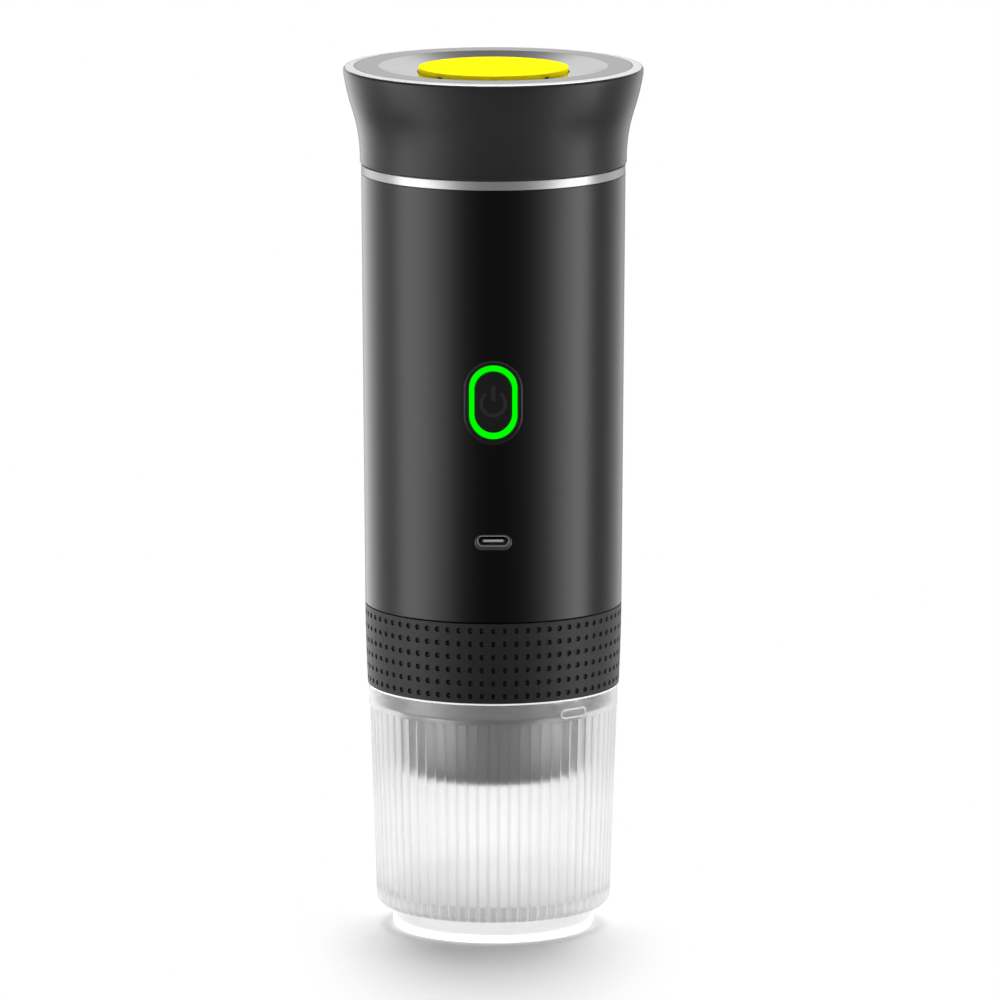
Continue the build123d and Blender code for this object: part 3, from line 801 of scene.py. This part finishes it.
def trim_metal():
    """Metal band with fine marks that run round it."""
    band = Finish("bright_metal")
    marks = band.noise(300, 2.0, (1, 1, 40))
    return band.surface({
        "Base Color": band.grey(marks, 0.64, 0.6016),
        "Metallic": 0.7,
        "Roughness": 0.46 + 0.04 * (marks - 0.5),
        "Specular Tint": (0.05, 0.05, 0.05, 1),
        "Anisotropic": 0.8,
        "Anisotropic Rotation": 0.25,
    })


def frosted_cup():
    """Clear hazy plastic with lines of painted shade between the ribs, a base band greyed by painted shade, a
    white rim band that is a painted highlight, a sole edge with a painted glow, and a faint painted glow
    band.
    """
    clear = Finish("cup_clear")
    up = clear.height()
    haze = clear.noise(400, 3.0)
    valley = 2 * clear.off_middle(rib_count)
    over_foot = clear.ramp(up, foot_height - line_blend, foot_height)
    ribbed = over_foot - clear.ramp(up, cup_rim_low - 2 * line_blend, cup_rim_low)
    # Painted shade: darker lines down the rib valleys
    groove = ribbed * clear.ramp(valley, 0.3, 1.0)
    # Painted shade: the base band turns grey where the thick base shows through the ribs
    base = ribbed * clear.ramp(up, base_shade_top, base_shade_top + 3 * line_blend, 1.0, 0.0)
    # Painted highlight: a white band that glows faintly along the top of the rim
    rim = clear.ramp(up, rim_highlight_low, rim_highlight_low + 2 * line_blend)
    # Painted glow: a white band round the sole's edge that glows more strongly
    sole = clear.ramp(up, sole_glow_low, sole_glow_low + 8 * line_blend, 1.0, 0.0)
    # Painted glow: a faint glow over a band of the wall above the floor
    painted_glow = clear.ramp(up, glow_band_low, glow_band_full) - clear.ramp(up, glow_band_fade, glow_band_top)
    glass = clear.add("ShaderNodeBsdfPrincipled", {}, {
        "Base Color": clear.grey(0.2 * groove + 0.02 * haze, 0.99, 0.0),
        "Roughness": 0.34 + 0.06 * haze,
        "IOR": 1.22,
        "Transmission Weight": 1.0,
        "Emission Color": clear.grey(painted_glow, 0.0, 0.028),
        "Emission Strength": 1.0,
    })
    # Painted shade stripes in the base band, darker on the rib crests
    stripe = clear.ramp(valley, 0.3, 0.7)
    band = clear.add("ShaderNodeBsdfPrincipled", {}, {
        "Base Color": clear.grey(stripe, 0.8, 0.98),
        "Roughness": 0.5,
    })
    # Mixes in the base band of painted shade
    based = clear.add("ShaderNodeMixShader", {}, {0: 0.9 * base, 1: glass, 2: band})
    # White surface that glows by itself, for the painted rim highlight and sole glow
    white = clear.add("ShaderNodeBsdfPrincipled", {}, {
        "Base Color": clear.grey(haze, 0.94, 0.96),
        "Roughness": 0.5,
        "Emission Color": clear.grey(sole, 0.6, 0.8),
        "Emission Strength": 1.0,
    })
    # Mixes in the painted rim highlight and sole glow
    edged = clear.add("ShaderNodeMixShader", {}, {0: 0.8 * (rim + sole), 1: based, 2: white})
    clear.add("ShaderNodeOutputMaterial", {}, {"Surface": edged})
    return clear.material


def port_tongue():
    """Pale contact blade, dark beside and above its contacts."""
    blade = Finish("port_tongue")
    across, along, up = blade.parts(blade.place)
    grain = blade.noise(5000)
    beside = blade.ramp(across.size(), tongue_half - tongue_blend, tongue_half + tongue_blend)
    above = blade.ramp(up, tongue_dark_low, tongue_dark_full)
    return blade.surface({
        "Base Color": blade.grey(beside.larger(above), 0.45, 0.01),
        "Roughness": 0.45 + 0.08 * grain,
        "Normal": blade.bump(grain, depth=0.004 * mm),
    })


def vent_yellow():
    """Dyed plastic, with painted shade, near black, where the vent slots meet the cap's side."""
    cap = Finish("vent_yellow")
    grain = cap.noise(7000)
    cloud = cap.noise(150, 3.0)
    # Painted shade of the notch gaps: small near-black arches on the side, centred on the dish floor at the
    # notches' angles
    aside = cap.off_middle(notch_count) * (2 * pi * vent_radius / notch_count)
    rise = 2 * (cap.height() - dish_floor)
    slot = cap.ramp((aside * aside + rise * rise).root(), slot_shade_half, slot_shade_half + slot_shade_blend, 1.0, 0.0)
    dyed = cap.mix(cloud, (1.0, 0.85, 0.009, 1), (0.97, 0.81, 0.007, 1))
    return cap.surface({
        "Base Color": cap.mix(slot, dyed, (0.003, 0.003, 0.003, 1)),
        "Roughness": 0.5 + 0.08 * (grain - 0.5),
        "Specular IOR Level": 0.0,
        "Normal": cap.bump(grain, depth=0.003 * mm),
    })


def lit_green():
    """Light guide: its glow dims a little towards the cloud's dark parts."""
    guide = Finish("light_green")
    cloud = guide.noise(500)
    return guide.surface({
        "Base Color": (0.0, 0.02, 0.0, 1),
        "Specular IOR Level": 0.0,
        "Roughness": 0.5 + 0.1 * (cloud - 0.5),
        "Emission Color": guide.mix(cloud, (0.0, 1.0, 0.0, 1), (0.0, 0.97, 0.0, 1)),
        "Emission Strength": 1.0,
    })


def clear_hose():
    """Soft clear tube with a faint haze."""
    hose = Finish("hose_clear")
    haze = hose.noise(900)
    return hose.surface({
        "Base Color": hose.grey(haze, 0.82, 0.95),
        "Roughness": 0.2 + 0.1 * haze,
        "Transmission Weight": 0.6,
        "IOR": 1.4,
    })


# Pieces
def dress(mesh, material):
    """Gives a mesh one material."""
    mesh.materials.clear()
    mesh.materials.append(material)


def place(name, mesh, body, slot, material, *nodes):
    """Object for a finished mesh: it rides on a body and may stand for CAD nodes."""
    obj = add_object(name, mesh)
    dress(mesh, material)
    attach(obj, body)
    if nodes:
        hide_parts(*nodes)
    return obj


def cup_wedge():
    """One rib's share of the cup's whole section, from the floor's middle to the sole's middle."""
    inside = rounded([
        (0, cup_floor),
        (cup_floor_radius, cup_floor, cup_floor_round),
        (cup_mouth, cup_rim_low),
        (cup_mouth, cup_top, cup_edge_round),
        (cup_radius, cup_top, cup_edge_round),
        (cup_radius, cup_rim_low),
    ])
    ribs = rounded([
        (rib_crest_high, cup_rim_low),
        (rib_crest_low, rib_low, rib_end_round),
        (rib_end_radius, foot_height),
    ])
    foot = rounded([
        (foot_radius, foot_height),
        (foot_radius, foot_bevel_height, foot_round),
        (sole_radius, 0, sole_round),
        (sole_inner, 0, sole_round),
        (sole_inner, foot_recess, sole_round),
        (0, foot_recess),
    ])
    columns = []
    for step in range(rib_steps + 1):
        turn = 2 * pi / rib_count * (1 - cos(pi * step / rib_steps)) / 2
        sink = rib_depth * (1 - sin(pi * step / rib_steps))
        outline = inside + [point - Vector((sink, 0)) for point in ribs] + foot
        columns.append([(point.x * cos(turn), point.x * sin(turn), point.y) for point in outline])
    rows = len(columns[0])
    points = [point for column in columns for point in column]
    faces = []
    for step in range(rib_steps):
        for row in range(rows - 1):
            first = step * rows + row
            faces.append((first, first + 1, first + rows + 1, first + rows))
    return new_mesh("cup_wedge", points, faces)


def cup_pip():
    """Raised oval outline on the cup's rim."""
    def loop(inset, rise):
        points = []
        for across, up in pill(pip_length / 2 - inset, pip_width / 2 - inset):
            angle = pip_angle + across / cup_radius
            radius = cup_radius + rise
            points.append((radius * cos(angle), radius * sin(angle), pip_level + up))
        return points

    outline = [
        loop(0, -pip_root),
        loop(0, pip_rise / 2),
        loop(pip_line / 3, pip_rise),
        loop(2 * pip_line / 3, pip_rise),
        loop(pip_line, pip_rise / 2),
        loop(pip_line, -pip_root),
    ]
    return skin("cup_pip", outline, closed=True)


def dimple_cell():
    """Flat cell, one unit wide and tall, with a round pit; its third value is the depth."""
    across_unit = 2 * pi * (body_radius_low + grip_radius_low) / 2 / dimple_columns
    up_unit = (grip_top - grip_low - 2 * dimple_margin) / (dimple_rows - 1)
    side = dimple_side_steps
    border = []
    for corner, way in (((-1, -1), (1, 0)), ((1, -1), (0, 1)), ((1, 1), (-1, 0)), ((-1, 1), (0, -1))):
        for step in range(side):
            share = step / side
            border.append((corner[0] / 2 + way[0] * share, corner[1] / 2 + way[1] * share, 0))
    loops = [border]
    for size, depth in dimple_ring_shares:
        loop = []
        for step in range(4 * side):
            angle = 2 * pi * step / (4 * side) - 3 * pi / 4
            loop.append((
                size * dimple_radius * cos(angle) / across_unit,
                size * dimple_radius * sin(angle) / up_unit,
                -depth * dimple_depth,
            ))
        loops.append(loop)
    loops.append([(0, 0, -dimple_depth)])
    return bridged("dimple_cell", loops)


def grip_sleeve(material):
    """Dimpled outside from the rolled sheet, closed by turned edges and an inner wall."""
    height = grip_top - grip_low
    pitch = (height - 2 * dimple_margin) / (dimple_rows - 1)
    edge = dimple_margin - pitch / 2
    outside = grown("grip_outside", dimple_cell(), dimpled_sleeve(), {
        "Columns": dimple_columns, "Rows": dimple_rows, "Low": grip_low, "High": grip_top,
        "Margin": dimple_margin, "Radius Low": grip_radius_low, "Radius High": body_radius_low,
        "Belly": grip_belly, "Material": material,
    })
    edge_round = edge * grip_round_share
    edges = rounded([
        (grip_radius(1 - edge / height), grip_top - edge),
        (body_radius_low, grip_top, edge_round),
        (grip_inner, grip_top),
        (grip_inner, grip_low),
        (grip_radius_low, grip_low, edge_round),
        (grip_radius(edge / height), grip_low + edge),
    ])
    segments = dimple_columns * dimple_side_steps
    start = -pi / 2 - pi / dimple_columns
    return joined("grip_sleeve", outside, lathe("grip_edges", edges, False, segments, start))


def body_sleeve():
    """Tapered sleeve with openings for the button's bezel and the charging socket."""
    wall = rounded([
        (body_radius_low - housing_wall, housing_low),
        (body_radius_low, housing_low, body_edge_round),
        (body_radius_high, housing_top, body_edge_round),
        (body_radius_high - housing_wall, housing_top),
    ])
    button_half = bezel_half + opening_slack
    button_hole = front_plug("button_hole", button_half, button_half + button_straight / 2, button_level)
    port_half = port_half_width + opening_slack
    port_hole = front_plug("port_hole", port_half, port_half_height + opening_slack, port_level - port_drop)
    mesh = cut(lathe("body_sleeve", wall), button_hole, port_hole)
    slope = (body_radius_high - body_radius_low) / (housing_top - housing_low)
    outside_angle = radians(8)
    normals = []
    for polygon in mesh.polygons:
        for corner in polygon.loop_indices:
            point = mesh.vertices[mesh.loops[corner].vertex_index].co
            outward = Vector((point.x, point.y, 0)).normalized() - Vector((0, 0, slope))
            outward.normalize()
            is_outside = polygon.normal.dot(outward) > cos(outside_angle)
            normals.append(outward if is_outside else polygon.normal)
    mesh.normals_split_custom_set(normals)
    return mesh


def front_plug(name, half_width, half_height, level):
    """Closed plug through the body's front wall."""
    outline = pill(half_width, half_height)
    front = -body_radius_high - opening_overrun
    back = -body_radius_high + opening_depth
    loops = [
        [(0, front, level)],
        [(across, front, level + up) for across, up in outline],
        [(across, back, level + up) for across, up in outline],
        [(0, back, level)],
    ]
    return skin(name, loops)


def trim_band():
    """Metal ring between the body and the lid."""
    return lathe("trim_band", rounded([
        (trim_bore, housing_top),
        (body_radius_high, housing_top, trim_round),
        (body_radius_high, trim_top, trim_round),
        (trim_bore, trim_top),
    ]))


def lid_shell():
    """Flared collar: two tangent arcs outside, a chamfered shoulder and a seat for the dish."""
    height = lid_top - lid_low
    flare = lid_radius - lid_radius_low
    start = Vector((lid_radius_low, flare_low))
    middle = Vector((lid_radius_low + flare_middle_share * flare, lid_low + flare_rise_share * height))
    shoulder = Vector((lid_radius, lid_low + shoulder_share * height))
    lower, way = bend(start, Vector((0, 1)), middle)
    upper, way = bend(middle, way, shoulder)
    rest = rounded([
        shoulder,
        (lid_radius, lid_chamfer_low, shoulder_round),
        (dish_recess, lid_top - dish_bevel_drop),
        (dish_recess, dish_seat),
        (dish_recess - seat_width, dish_seat),
        (stop_bore, stop_low + stop_height),
        (stop_bore, stop_low),
        (lid_bore, stop_low),
        (lid_bore, lid_low),
        (lid_radius_low - lid_edge, lid_low),
        (lid_radius_low, lid_low + lid_edge),
    ])
    return lathe("lid_shell", lower + upper[1:] + rest[1:])


def lid_face():
    """Metal dish: bevel, flat ring, sloping inside and a guide for the vent button."""
    guide_radius = guide_bore + dish_sheet
    guide_low = low("lid_dish")
    dish = lathe("lid_face", rounded([
        (dish_rim, dish_seat),
        (dish_rim, lid_top - dish_bevel_drop, dish_edge_round),
        (dish_ring_outer, lid_top, bevel_round),
        (dish_ring_inner, lid_top, slope_round),
        (dish_floor_radius, dish_floor, dish_floor_round),
        (guide_bore, dish_floor),
        (guide_bore, guide_low),
        (guide_radius, guide_low),
        (guide_radius, dish_floor - dish_sheet),
        (dish_floor_radius, dish_floor - dish_sheet),
        (dish_ring_inner, dish_seat),
    ]))
    notches = grown("vent_notches", vent_notch(), ring_of_copies(), {"Count": notch_count})
    return cut(dish, notches)


def vent_notch():
    """Block for one notch beside the vent button, at the first of its angles."""
    turn = pi / notch_count
    inner, outer = vent_radius, guide_bore + notch_reach
    half = notch_width / 2
    corners = []
    for level in (dish_floor - notch_depth, dish_floor + notch_overrun):
        for out, across in ((inner, -half), (outer, -half), (outer, half), (inner, half)):
            x = out * cos(turn) - across * sin(turn)
            y = out * sin(turn) + across * cos(turn)
            corners.append((x, y, level))
    ends = [(3, 2, 1, 0), (4, 5, 6, 7)]
    sides = [(side, (side + 1) % 4, (side + 1) % 4 + 4, side + 4) for side in range(4)]
    return new_mesh("vent_notch", corners, ends + sides)


def vent_cap():
    """Round press cap with a softly rounded edge, a skirt and a catch."""
    cap_low = low("vent_button")
    catch_radius = reach("vent_button")
    catch_top = cap_low + vent_catch
    return lathe("vent_cap", rounded([
        (0, vent_underside),
        (vent_bore, vent_underside),
        (vent_bore, cap_low),
        (catch_radius, cap_low),
        (catch_radius, catch_top),
        (vent_radius, catch_top),
        (vent_radius, vent_cap_top, vent_round),
        (0, vent_cap_top),
    ]), closed=False)


def button_shell(name, steps, closed=True):
    """Upright pill shell on the body's front, from (half width, recess) steps."""
    loops = [front_loop(half, half + button_straight / 2, button_level, recess) for half, recess in steps]
    return skin(name, loops, closed)


def button_rim():
    """Narrow lighter lip that slopes from the body down to the button's frame; its lighter grey is a painted
    highlight.
    """
    back = bezel_recess + rim_depth
    return button_shell("button_rim", [
        (bezel_half, back),
        (bezel_half, rim_edge_recess),
        (bezel_half - rim_crest_inset, rim_crest_recess),
        (bezel_half - rim_width, bezel_recess),
        (bezel_half - rim_width, back),
    ])


def button_frame():
    """Dark surround between the lip and the light."""
    back = bezel_recess + button_depth
    outer = bezel_half - rim_width
    inner = light_half + light_slack
    return button_shell("button_frame", [
        (outer, back),
        (outer, bezel_recess),
        (inner + button_edge, bezel_recess),
        (inner, bezel_recess + button_edge),
        (inner, back),
    ])


def light_guide():
    """Green light ring round the button's cap."""
    back = light_recess + button_depth
    outer = light_half - light_margin
    inner = cap_opening_half + light_margin
    return button_shell("light_guide", [
        (outer, back),
        (outer, light_recess + light_edge),
        (outer - light_edge, light_recess),
        (inner + light_edge, light_recess),
        (inner, light_recess + light_edge),
        (inner, back),
    ])


def button_cap():
    """Solid cap whose front and back end in the pill's middle line."""
    back = cap_recess + button_depth
    return button_shell("button_cap", [
        (0, back),
        (cap_half, back),
        (cap_half, cap_recess + button_edge),
        (cap_half - button_edge, cap_recess),
        (cap_half / 2, cap_recess),
        (0, cap_recess),
    ], closed=False)


def power_symbol():
    """Thin inlay on the cap: an open ring and an upright bar."""
    def point(across, up, rise):
        level = button_level - symbol_drop + up
        radius = body_radius(level) - cap_recess + rise
        return (across, -sqrt(radius * radius - across * across), level)

    def strip(name, path, ways, width):
        """Closed strip along a path; a way is the unit vector across it."""
        loops = []
        for (across, up), (side_across, side_up) in zip(path, ways):
            loops.append([
                point(across + half * side_across, up + half * side_up, rise)
                for half, rise in (
                    (-width / 2, -symbol_rise), (-width / 2, symbol_rise),
                    (width / 2, symbol_rise), (width / 2, -symbol_rise),
                )
            ])
        return tube(name, loops)

    sweep = 2 * pi - 2 * symbol_gap
    angles = [pi / 2 + symbol_gap + sweep * step / symbol_steps for step in range(symbol_steps + 1)]
    ways = [(cos(angle), sin(angle)) for angle in angles]
    ring = strip("symbol_ring", [(symbol_radius * x, symbol_radius * y) for x, y in ways], ways, symbol_line)
    bar_path = [(0, symbol_radius * share) for share in symbol_bar_shares]
    bar = strip("symbol_bar", bar_path, [(1, 0)] * len(bar_path), symbol_bar)
    return joined("power_symbol", ring, bar)


def port_shell(name, steps):
    """Closed level pill shell on the body's front, from (half width, half height, drop, recess) steps."""
    loops = [front_loop(wide, tall, port_level - drop, recess) for wide, tall, drop, recess in steps]
    return skin(name, loops, closed=True)


def port_frame():
    """Grey surround that slopes in to the charging socket."""
    inner_wide = shell_half_width + port_slack
    inner_tall = shell_half_height + port_slack
    return port_shell("port_frame", [
        (port_half_width, port_half_height, port_drop, port_depth),
        (port_half_width, port_half_height, port_drop, port_edge),
        (port_half_width - port_edge, port_half_height - port_edge, port_drop, 0),
        (inner_wide + port_edge, inner_tall + port_edge, 0, port_slope),
        (inner_wide, inner_tall, 0, port_slope + port_edge),
        (inner_wide, inner_tall, 0, port_depth),
    ])


def socket_shell():
    """Metal shell of the charging socket."""
    inner_wide = shell_half_width - shell_wall
    inner_tall = shell_half_height - shell_wall
    return port_shell("socket_shell", [
        (shell_half_width, shell_half_height, 0, shell_depth),
        (shell_half_width, shell_half_height, 0, shell_recess + shell_edge),
        (shell_half_width - shell_edge, shell_half_height - shell_edge, 0, shell_recess),
        (inner_wide + shell_edge, inner_tall + shell_edge, 0, shell_recess),
        (inner_wide, inner_tall, 0, shell_recess + shell_edge),
        (inner_wide, inner_tall, 0, shell_depth),
    ])


def brew_cup():
    """Brew chamber that hangs in the cup: drafted wall, round bottom edge and a top flange."""
    chamber_low = low("brew_chamber")
    chamber_top = top("brew_chamber")
    chamber_floor = chamber_low + chamber_wall
    chamber_bore = chamber_radius - chamber_wall
    flange_low = chamber_top - chamber_flange
    flange_radius = reach("brew_chamber")
    return lathe("brew_cup", rounded([
        (outlet_radius, chamber_low),
        (chamber_radius, chamber_low, chamber_round),
        (chamber_belly, belly_level),
        (chamber_radius, cup_top),
        (chamber_radius, flange_low),
        (flange_radius, flange_low),
        (flange_radius, chamber_top),
        (chamber_bore, chamber_top),
        (chamber_bore, chamber_floor, chamber_inner_round),
        (outlet_radius, chamber_floor),
    ]))


def collar_ring():
    """Collar with the spigot that sits in the cup's mouth."""
    spigot_low = low("brew_collar")
    return lathe("collar_ring", rounded([
        (spigot_bore, spigot_low),
        (spigot_radius, spigot_low, spigot_round),
        (spigot_radius, cup_top),
        (collar_radius, cup_top),
        (collar_radius, grip_top),
        (collar_bore, grip_top, collar_round),
        (collar_bore, ledge_top),
        (ledge_bore, ledge_top),
        (ledge_bore, ledge_low),
        (spigot_bore, ledge_low),
    ]))


def screw_thread(name, radius, thread_low, thread_high, turns):
    """Raised helical ridge that fades in and out at its ends."""
    steps = ridge_steps * turns
    root = radius - ridge_root
    loops = []
    for step in range(steps + 1):
        share = step / steps
        angle = 2 * pi * turns * share
        level = thread_low + (thread_high - thread_low) * share
        crest = radius + ridge_height * min(1, share / ridge_fade_share, (1 - share) / ridge_fade_share)
        section = ((root, -ridge_half), (crest, -ridge_half / 3), (crest, ridge_half / 3), (root, ridge_half))
        loops.append([(out * cos(angle), out * sin(angle), level + rise) for out, rise in section])
    return tube(name, loops)


def vent_coil():
    """Round wire wound between the plug's boss and the underside of the vent button."""
    coil_radius = reach("vent_spring") - coil_wire
    start = coil_low + coil_wire
    rise = coil_top - coil_wire - start
    loops = []
    for step in range(coil_steps + 1):
        angle = 2 * pi * coil_turns * step / coil_steps
        level = start + rise * step / coil_steps
        loop = []
        for side in range(coil_sides):
            around = 2 * pi * side / coil_sides
            span = coil_radius + coil_wire * cos(around)
            loop.append((span * cos(angle), span * sin(angle), level + coil_wire * sin(around)))
        loops.append(loop)
    return tube("vent_coil", loops)


def build_pieces():
    """Finished pieces in place of CAD nodes, and finishes for the nodes that stay."""
    body_paint = painted_black("body_black", dark=0.0012, light=0.0016, specular=0.35, rough=0.34)
    lid_paint = painted_black("lid_black", dark=0.028, light=0.032, specular=0.18, rough=0.34)
    rubber = grip_rubber()
    black = moulded("black_plastic", (0.012, 0.012, 0.012))
    cap_black = moulded("button_black", (0.0115, 0.0115, 0.0115), rough=0.5, specular=0.15)
    # Lighter grey than the button's cap: a painted highlight along the lip
    rim_highlight_grey = moulded("button_rim", (0.025, 0.025, 0.025), rough=0.5, specular=0.3)
    port_grey = moulded("port_frame", (0.09, 0.09, 0.09), rough=0.5, specular=0.4)
    symbol = moulded("symbol_grey", (0.028, 0.028, 0.028), rough=0.6, specular=0.15)
    satin = satin_grey()
    clear = frosted_cup()
    bright = trim_metal()
    dish = dish_metal()
    steel = turned_steel()
    socket_steel = moulded("socket_steel", (0.3, 0.3, 0.3), rough=0.5, specular=0.8)
    silicone = moulded("silicone", (0.5, 0.5, 0.48), rough=0.6)
    white = moulded("white_plastic", (0.7, 0.7, 0.68))
    board = moulded("board_green", (0.012, 0.09, 0.03), rough=0.4)
    sleeve_blue = moulded("cell_sleeve", (0.02, 0.12, 0.3), rough=0.35)
    yellow = vent_yellow()
    green = lit_green()

    cup = grown("coffee_cup_visual", cup_wedge(), ring_of_copies(), {"Count": rib_count, "Material": clear})
    place("cup_shell", cup, "cup", "cup_clear", clear, "coffee_cup")
    place("cup_pip", cup_pip(), "cup", "cup_clear", moulded("cup_pip", (0.95, 0.95, 0.95), rough=0.4))
    place("grip_sleeve", grip_sleeve(rubber), "brew_head", "grip_rubber", rubber, "grip_ring")
    place("collar_ring", collar_ring(), "brew_head", "black_plastic", satin, "brew_collar")
    place("brew_cup", brew_cup(), "brew_head", "grey_plastic", satin, "brew_chamber")
    place("body_sleeve", body_sleeve(), "unit", "body_black", body_paint, "housing_sleeve")
    place("trim_band", trim_band(), "unit", "bright_metal", bright, "trim_ring")
    place("lid_shell", lid_shell(), "lid", "lid_black", lid_paint, "lid_collar")
    place("lid_face", lid_face(), "lid", "dish_metal", dish, "lid_dish")
    place("vent_cap", vent_cap(), "vent_button", "vent_yellow", yellow, "vent_button")
    coil = place("vent_coil", vent_coil(), "lid", "steel", steel, "vent_spring")
    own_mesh(coil)
    place("button_rim", button_rim(), "unit", "button_black", rim_highlight_grey)
    place("button_frame", button_frame(), "unit", "button_black", cap_black, "button_bezel")
    place("light_guide", light_guide(), "unit", "light_green", green, "light_ring")
    place("button_cap", button_cap(), "power_button", "button_black", cap_black, "power_button")
    place("power_symbol", power_symbol(), "power_button", "button_black", symbol)
    place("port_frame", port_frame(), "unit", "button_black", port_grey, "port_bezel")
    place("socket_shell", socket_shell(), "unit", "steel", socket_steel, "usb_shell")
    neck = screw_thread("neck_thread", neck_radius, neck_low, housing_low - ridge_margin, neck_turns)
    place("neck_thread", neck, "unit", "black_plastic", black)
    plug = screw_thread("plug_thread", plug_radius, plug_low, lid_low - ridge_margin, plug_turns)
    place("plug_thread", plug, "lid", "black_plastic", black)

    finishes = {
        "usb_tongue": port_tongue(), "outlet_valve": silicone, "coffee_basket": steel, "brew_seal": silicone,
        "base_cap": black, "shower_screen": steel, "base_screws": steel, "battery_tray": black,
        "battery_cells": sleeve_blue, "chassis_frame": black, "outlet_tube": white, "pump_head": white,
        "motor_mount": black, "motor_can": steel, "drive_coupling": steel, "water_tank": steel,
        "heater_plate": silicone, "tank_outlet": white, "inlet_hose": clear_hose(), "control_board": board,
        "tact_switch": black, "switch_plunger": black, "lid_gasket": silicone, "lid_plug": black,
        "valve_stem": white, "valve_disc": silicone,
    }
    for node, material in finishes.items():
        dress(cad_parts[node].data, material)


# Studio
def softbox(name, spot, target, width, height, brightness):
    """Rectangular light of an even brightness that faces a target."""
    light = bpy.data.lights.new(name, "AREA")
    light.shape = "RECTANGLE"
    light.size = width
    light.size_y = height
    light.energy = pi * width * height * brightness
    lamp = add_object(name, light)
    lamp.location = spot
    lamp.rotation_euler = (Vector(target) - Vector(spot)).to_track_quat("-Z", "Y").to_euler()
    return lamp


def studio_world():
    """White to the camera, pale behind and low in front to reflections, dim to everything else."""
    world = bpy.data.worlds.new("studio")
    world.use_nodes = True
    bpy.context.scene.world = world
    graph = Graph(world.node_tree)
    graph.tree.nodes.clear()
    # Parts of the unit vector to the sky, so 0.36 up is about 21 degrees above the horizon
    across, along, up = graph.parts(graph.add("ShaderNodeTexCoord", {}, {}, "Generated"))
    behind = graph.ramp(along, 0.35, 0.85, 0.06, 0.65)
    above = graph.ramp(up, 0.36, 0.5, 1.0, 0.15)
    below = graph.ramp(up, -0.08, 0.1, 0.45, 1.0)
    mirrored = graph.mirrored()
    seen = graph.seen()
    facing = graph.ramp(along, -0.85, -0.35, 0.5, 0.0) * graph.ramp(up, 0.1, 0.22)
    other = mirrored * (behind * below + facing) * above + (1 - mirrored) * 0.06
    strength = seen + (1 - seen) * other
    white = graph.add("ShaderNodeBackground", {}, {"Color": (1, 1, 1, 1), "Strength": strength})
    graph.add("ShaderNodeOutputWorld", {}, {"Surface": white})


def studio_floor():
    """Pale floor that keeps the soft shadow, fades to white away from it, mirrors dark in front and has a
    painted glow under the cup's foot.
    """
    corners = [(x * floor_half, y * floor_half, 0) for x, y in ((-1, -1), (1, -1), (1, 1), (-1, 1))]
    mesh = new_mesh("floor", corners, [(0, 1, 2, 3)])
    floor = add_object("floor", mesh)
    paint = Finish("floor_paint")
    black = (0, 0, 0, 1)
    distance = paint.axis_distance()
    across, along, up = paint.parts(paint.place)
    aside, ahead = 2.0 * across, 0.6 * along
    fade = paint.ramp((aside * aside + ahead * ahead).root(), shadow_near, shadow_far)
    fade = fade.larger(paint.through())
    in_front = paint.ramp(along / distance, -0.85, -0.2, 1.0, 0.0)
    pale = paint.grey(paint.noise(3.0), 0.84, 0.86)
    seen = paint.seen()
    lit = paint.mix(seen * fade, pale, black)
    # Painted light: a glow under the cup's foot, seen only through the cup's base
    under = paint.ramp(distance, under_cup_glow_radius, sole_radius, 0.6, 0.0)
    glow = paint.grey(fade + under, 0.02, 1.0)
    mesh.materials.append(paint.surface({
        "Base Color": paint.mix(paint.mirrored() * in_front, lit, black),
        "Roughness": 0.9,
        "Specular IOR Level": 0.0,
        "Emission Color": paint.mix(seen, black, glow),
        "Emission Strength": 1.0,
    }))


def studio_camera():
    """Long lens a little above the object, matched to the photograph."""
    camera = bpy.data.cameras.new("camera")
    camera.sensor_width = 36
    camera.lens = camera_lens
    camera.clip_end = 50
    eye = add_object("camera", camera)
    eye.location = camera_place
    eye.rotation_euler = (radians(90) - camera_tilt, 0, 0)
    bpy.context.scene.camera = eye


def studio_lights():
    """Upright strips on both sides of the object, and one wide light overhead."""
    for angle, strip_low, left, right in strips:
        across = strip_distance * sin(radians(angle))
        along = -strip_distance * cos(radians(angle))
        height = strip_top - strip_low
        level = (strip_top + strip_low) / 2
        for side, brightness in ((-1, left), (1, right)):
            spot = (side * across, along, level)
            strip = softbox("strip", spot, (0, 0, level), strip_width, height, brightness)
            strip.visible_transmission = angle < 90
    overhead_spot = (*overhead_place, overhead_level)
    softbox("overhead", overhead_spot, (*overhead_place, 0), *overhead_size, overhead_brightness)


build_pieces()
studio_world()
studio_floor()
studio_lights()
studio_camera()
bpy.context.scene.view_settings.view_transform = "Standard"
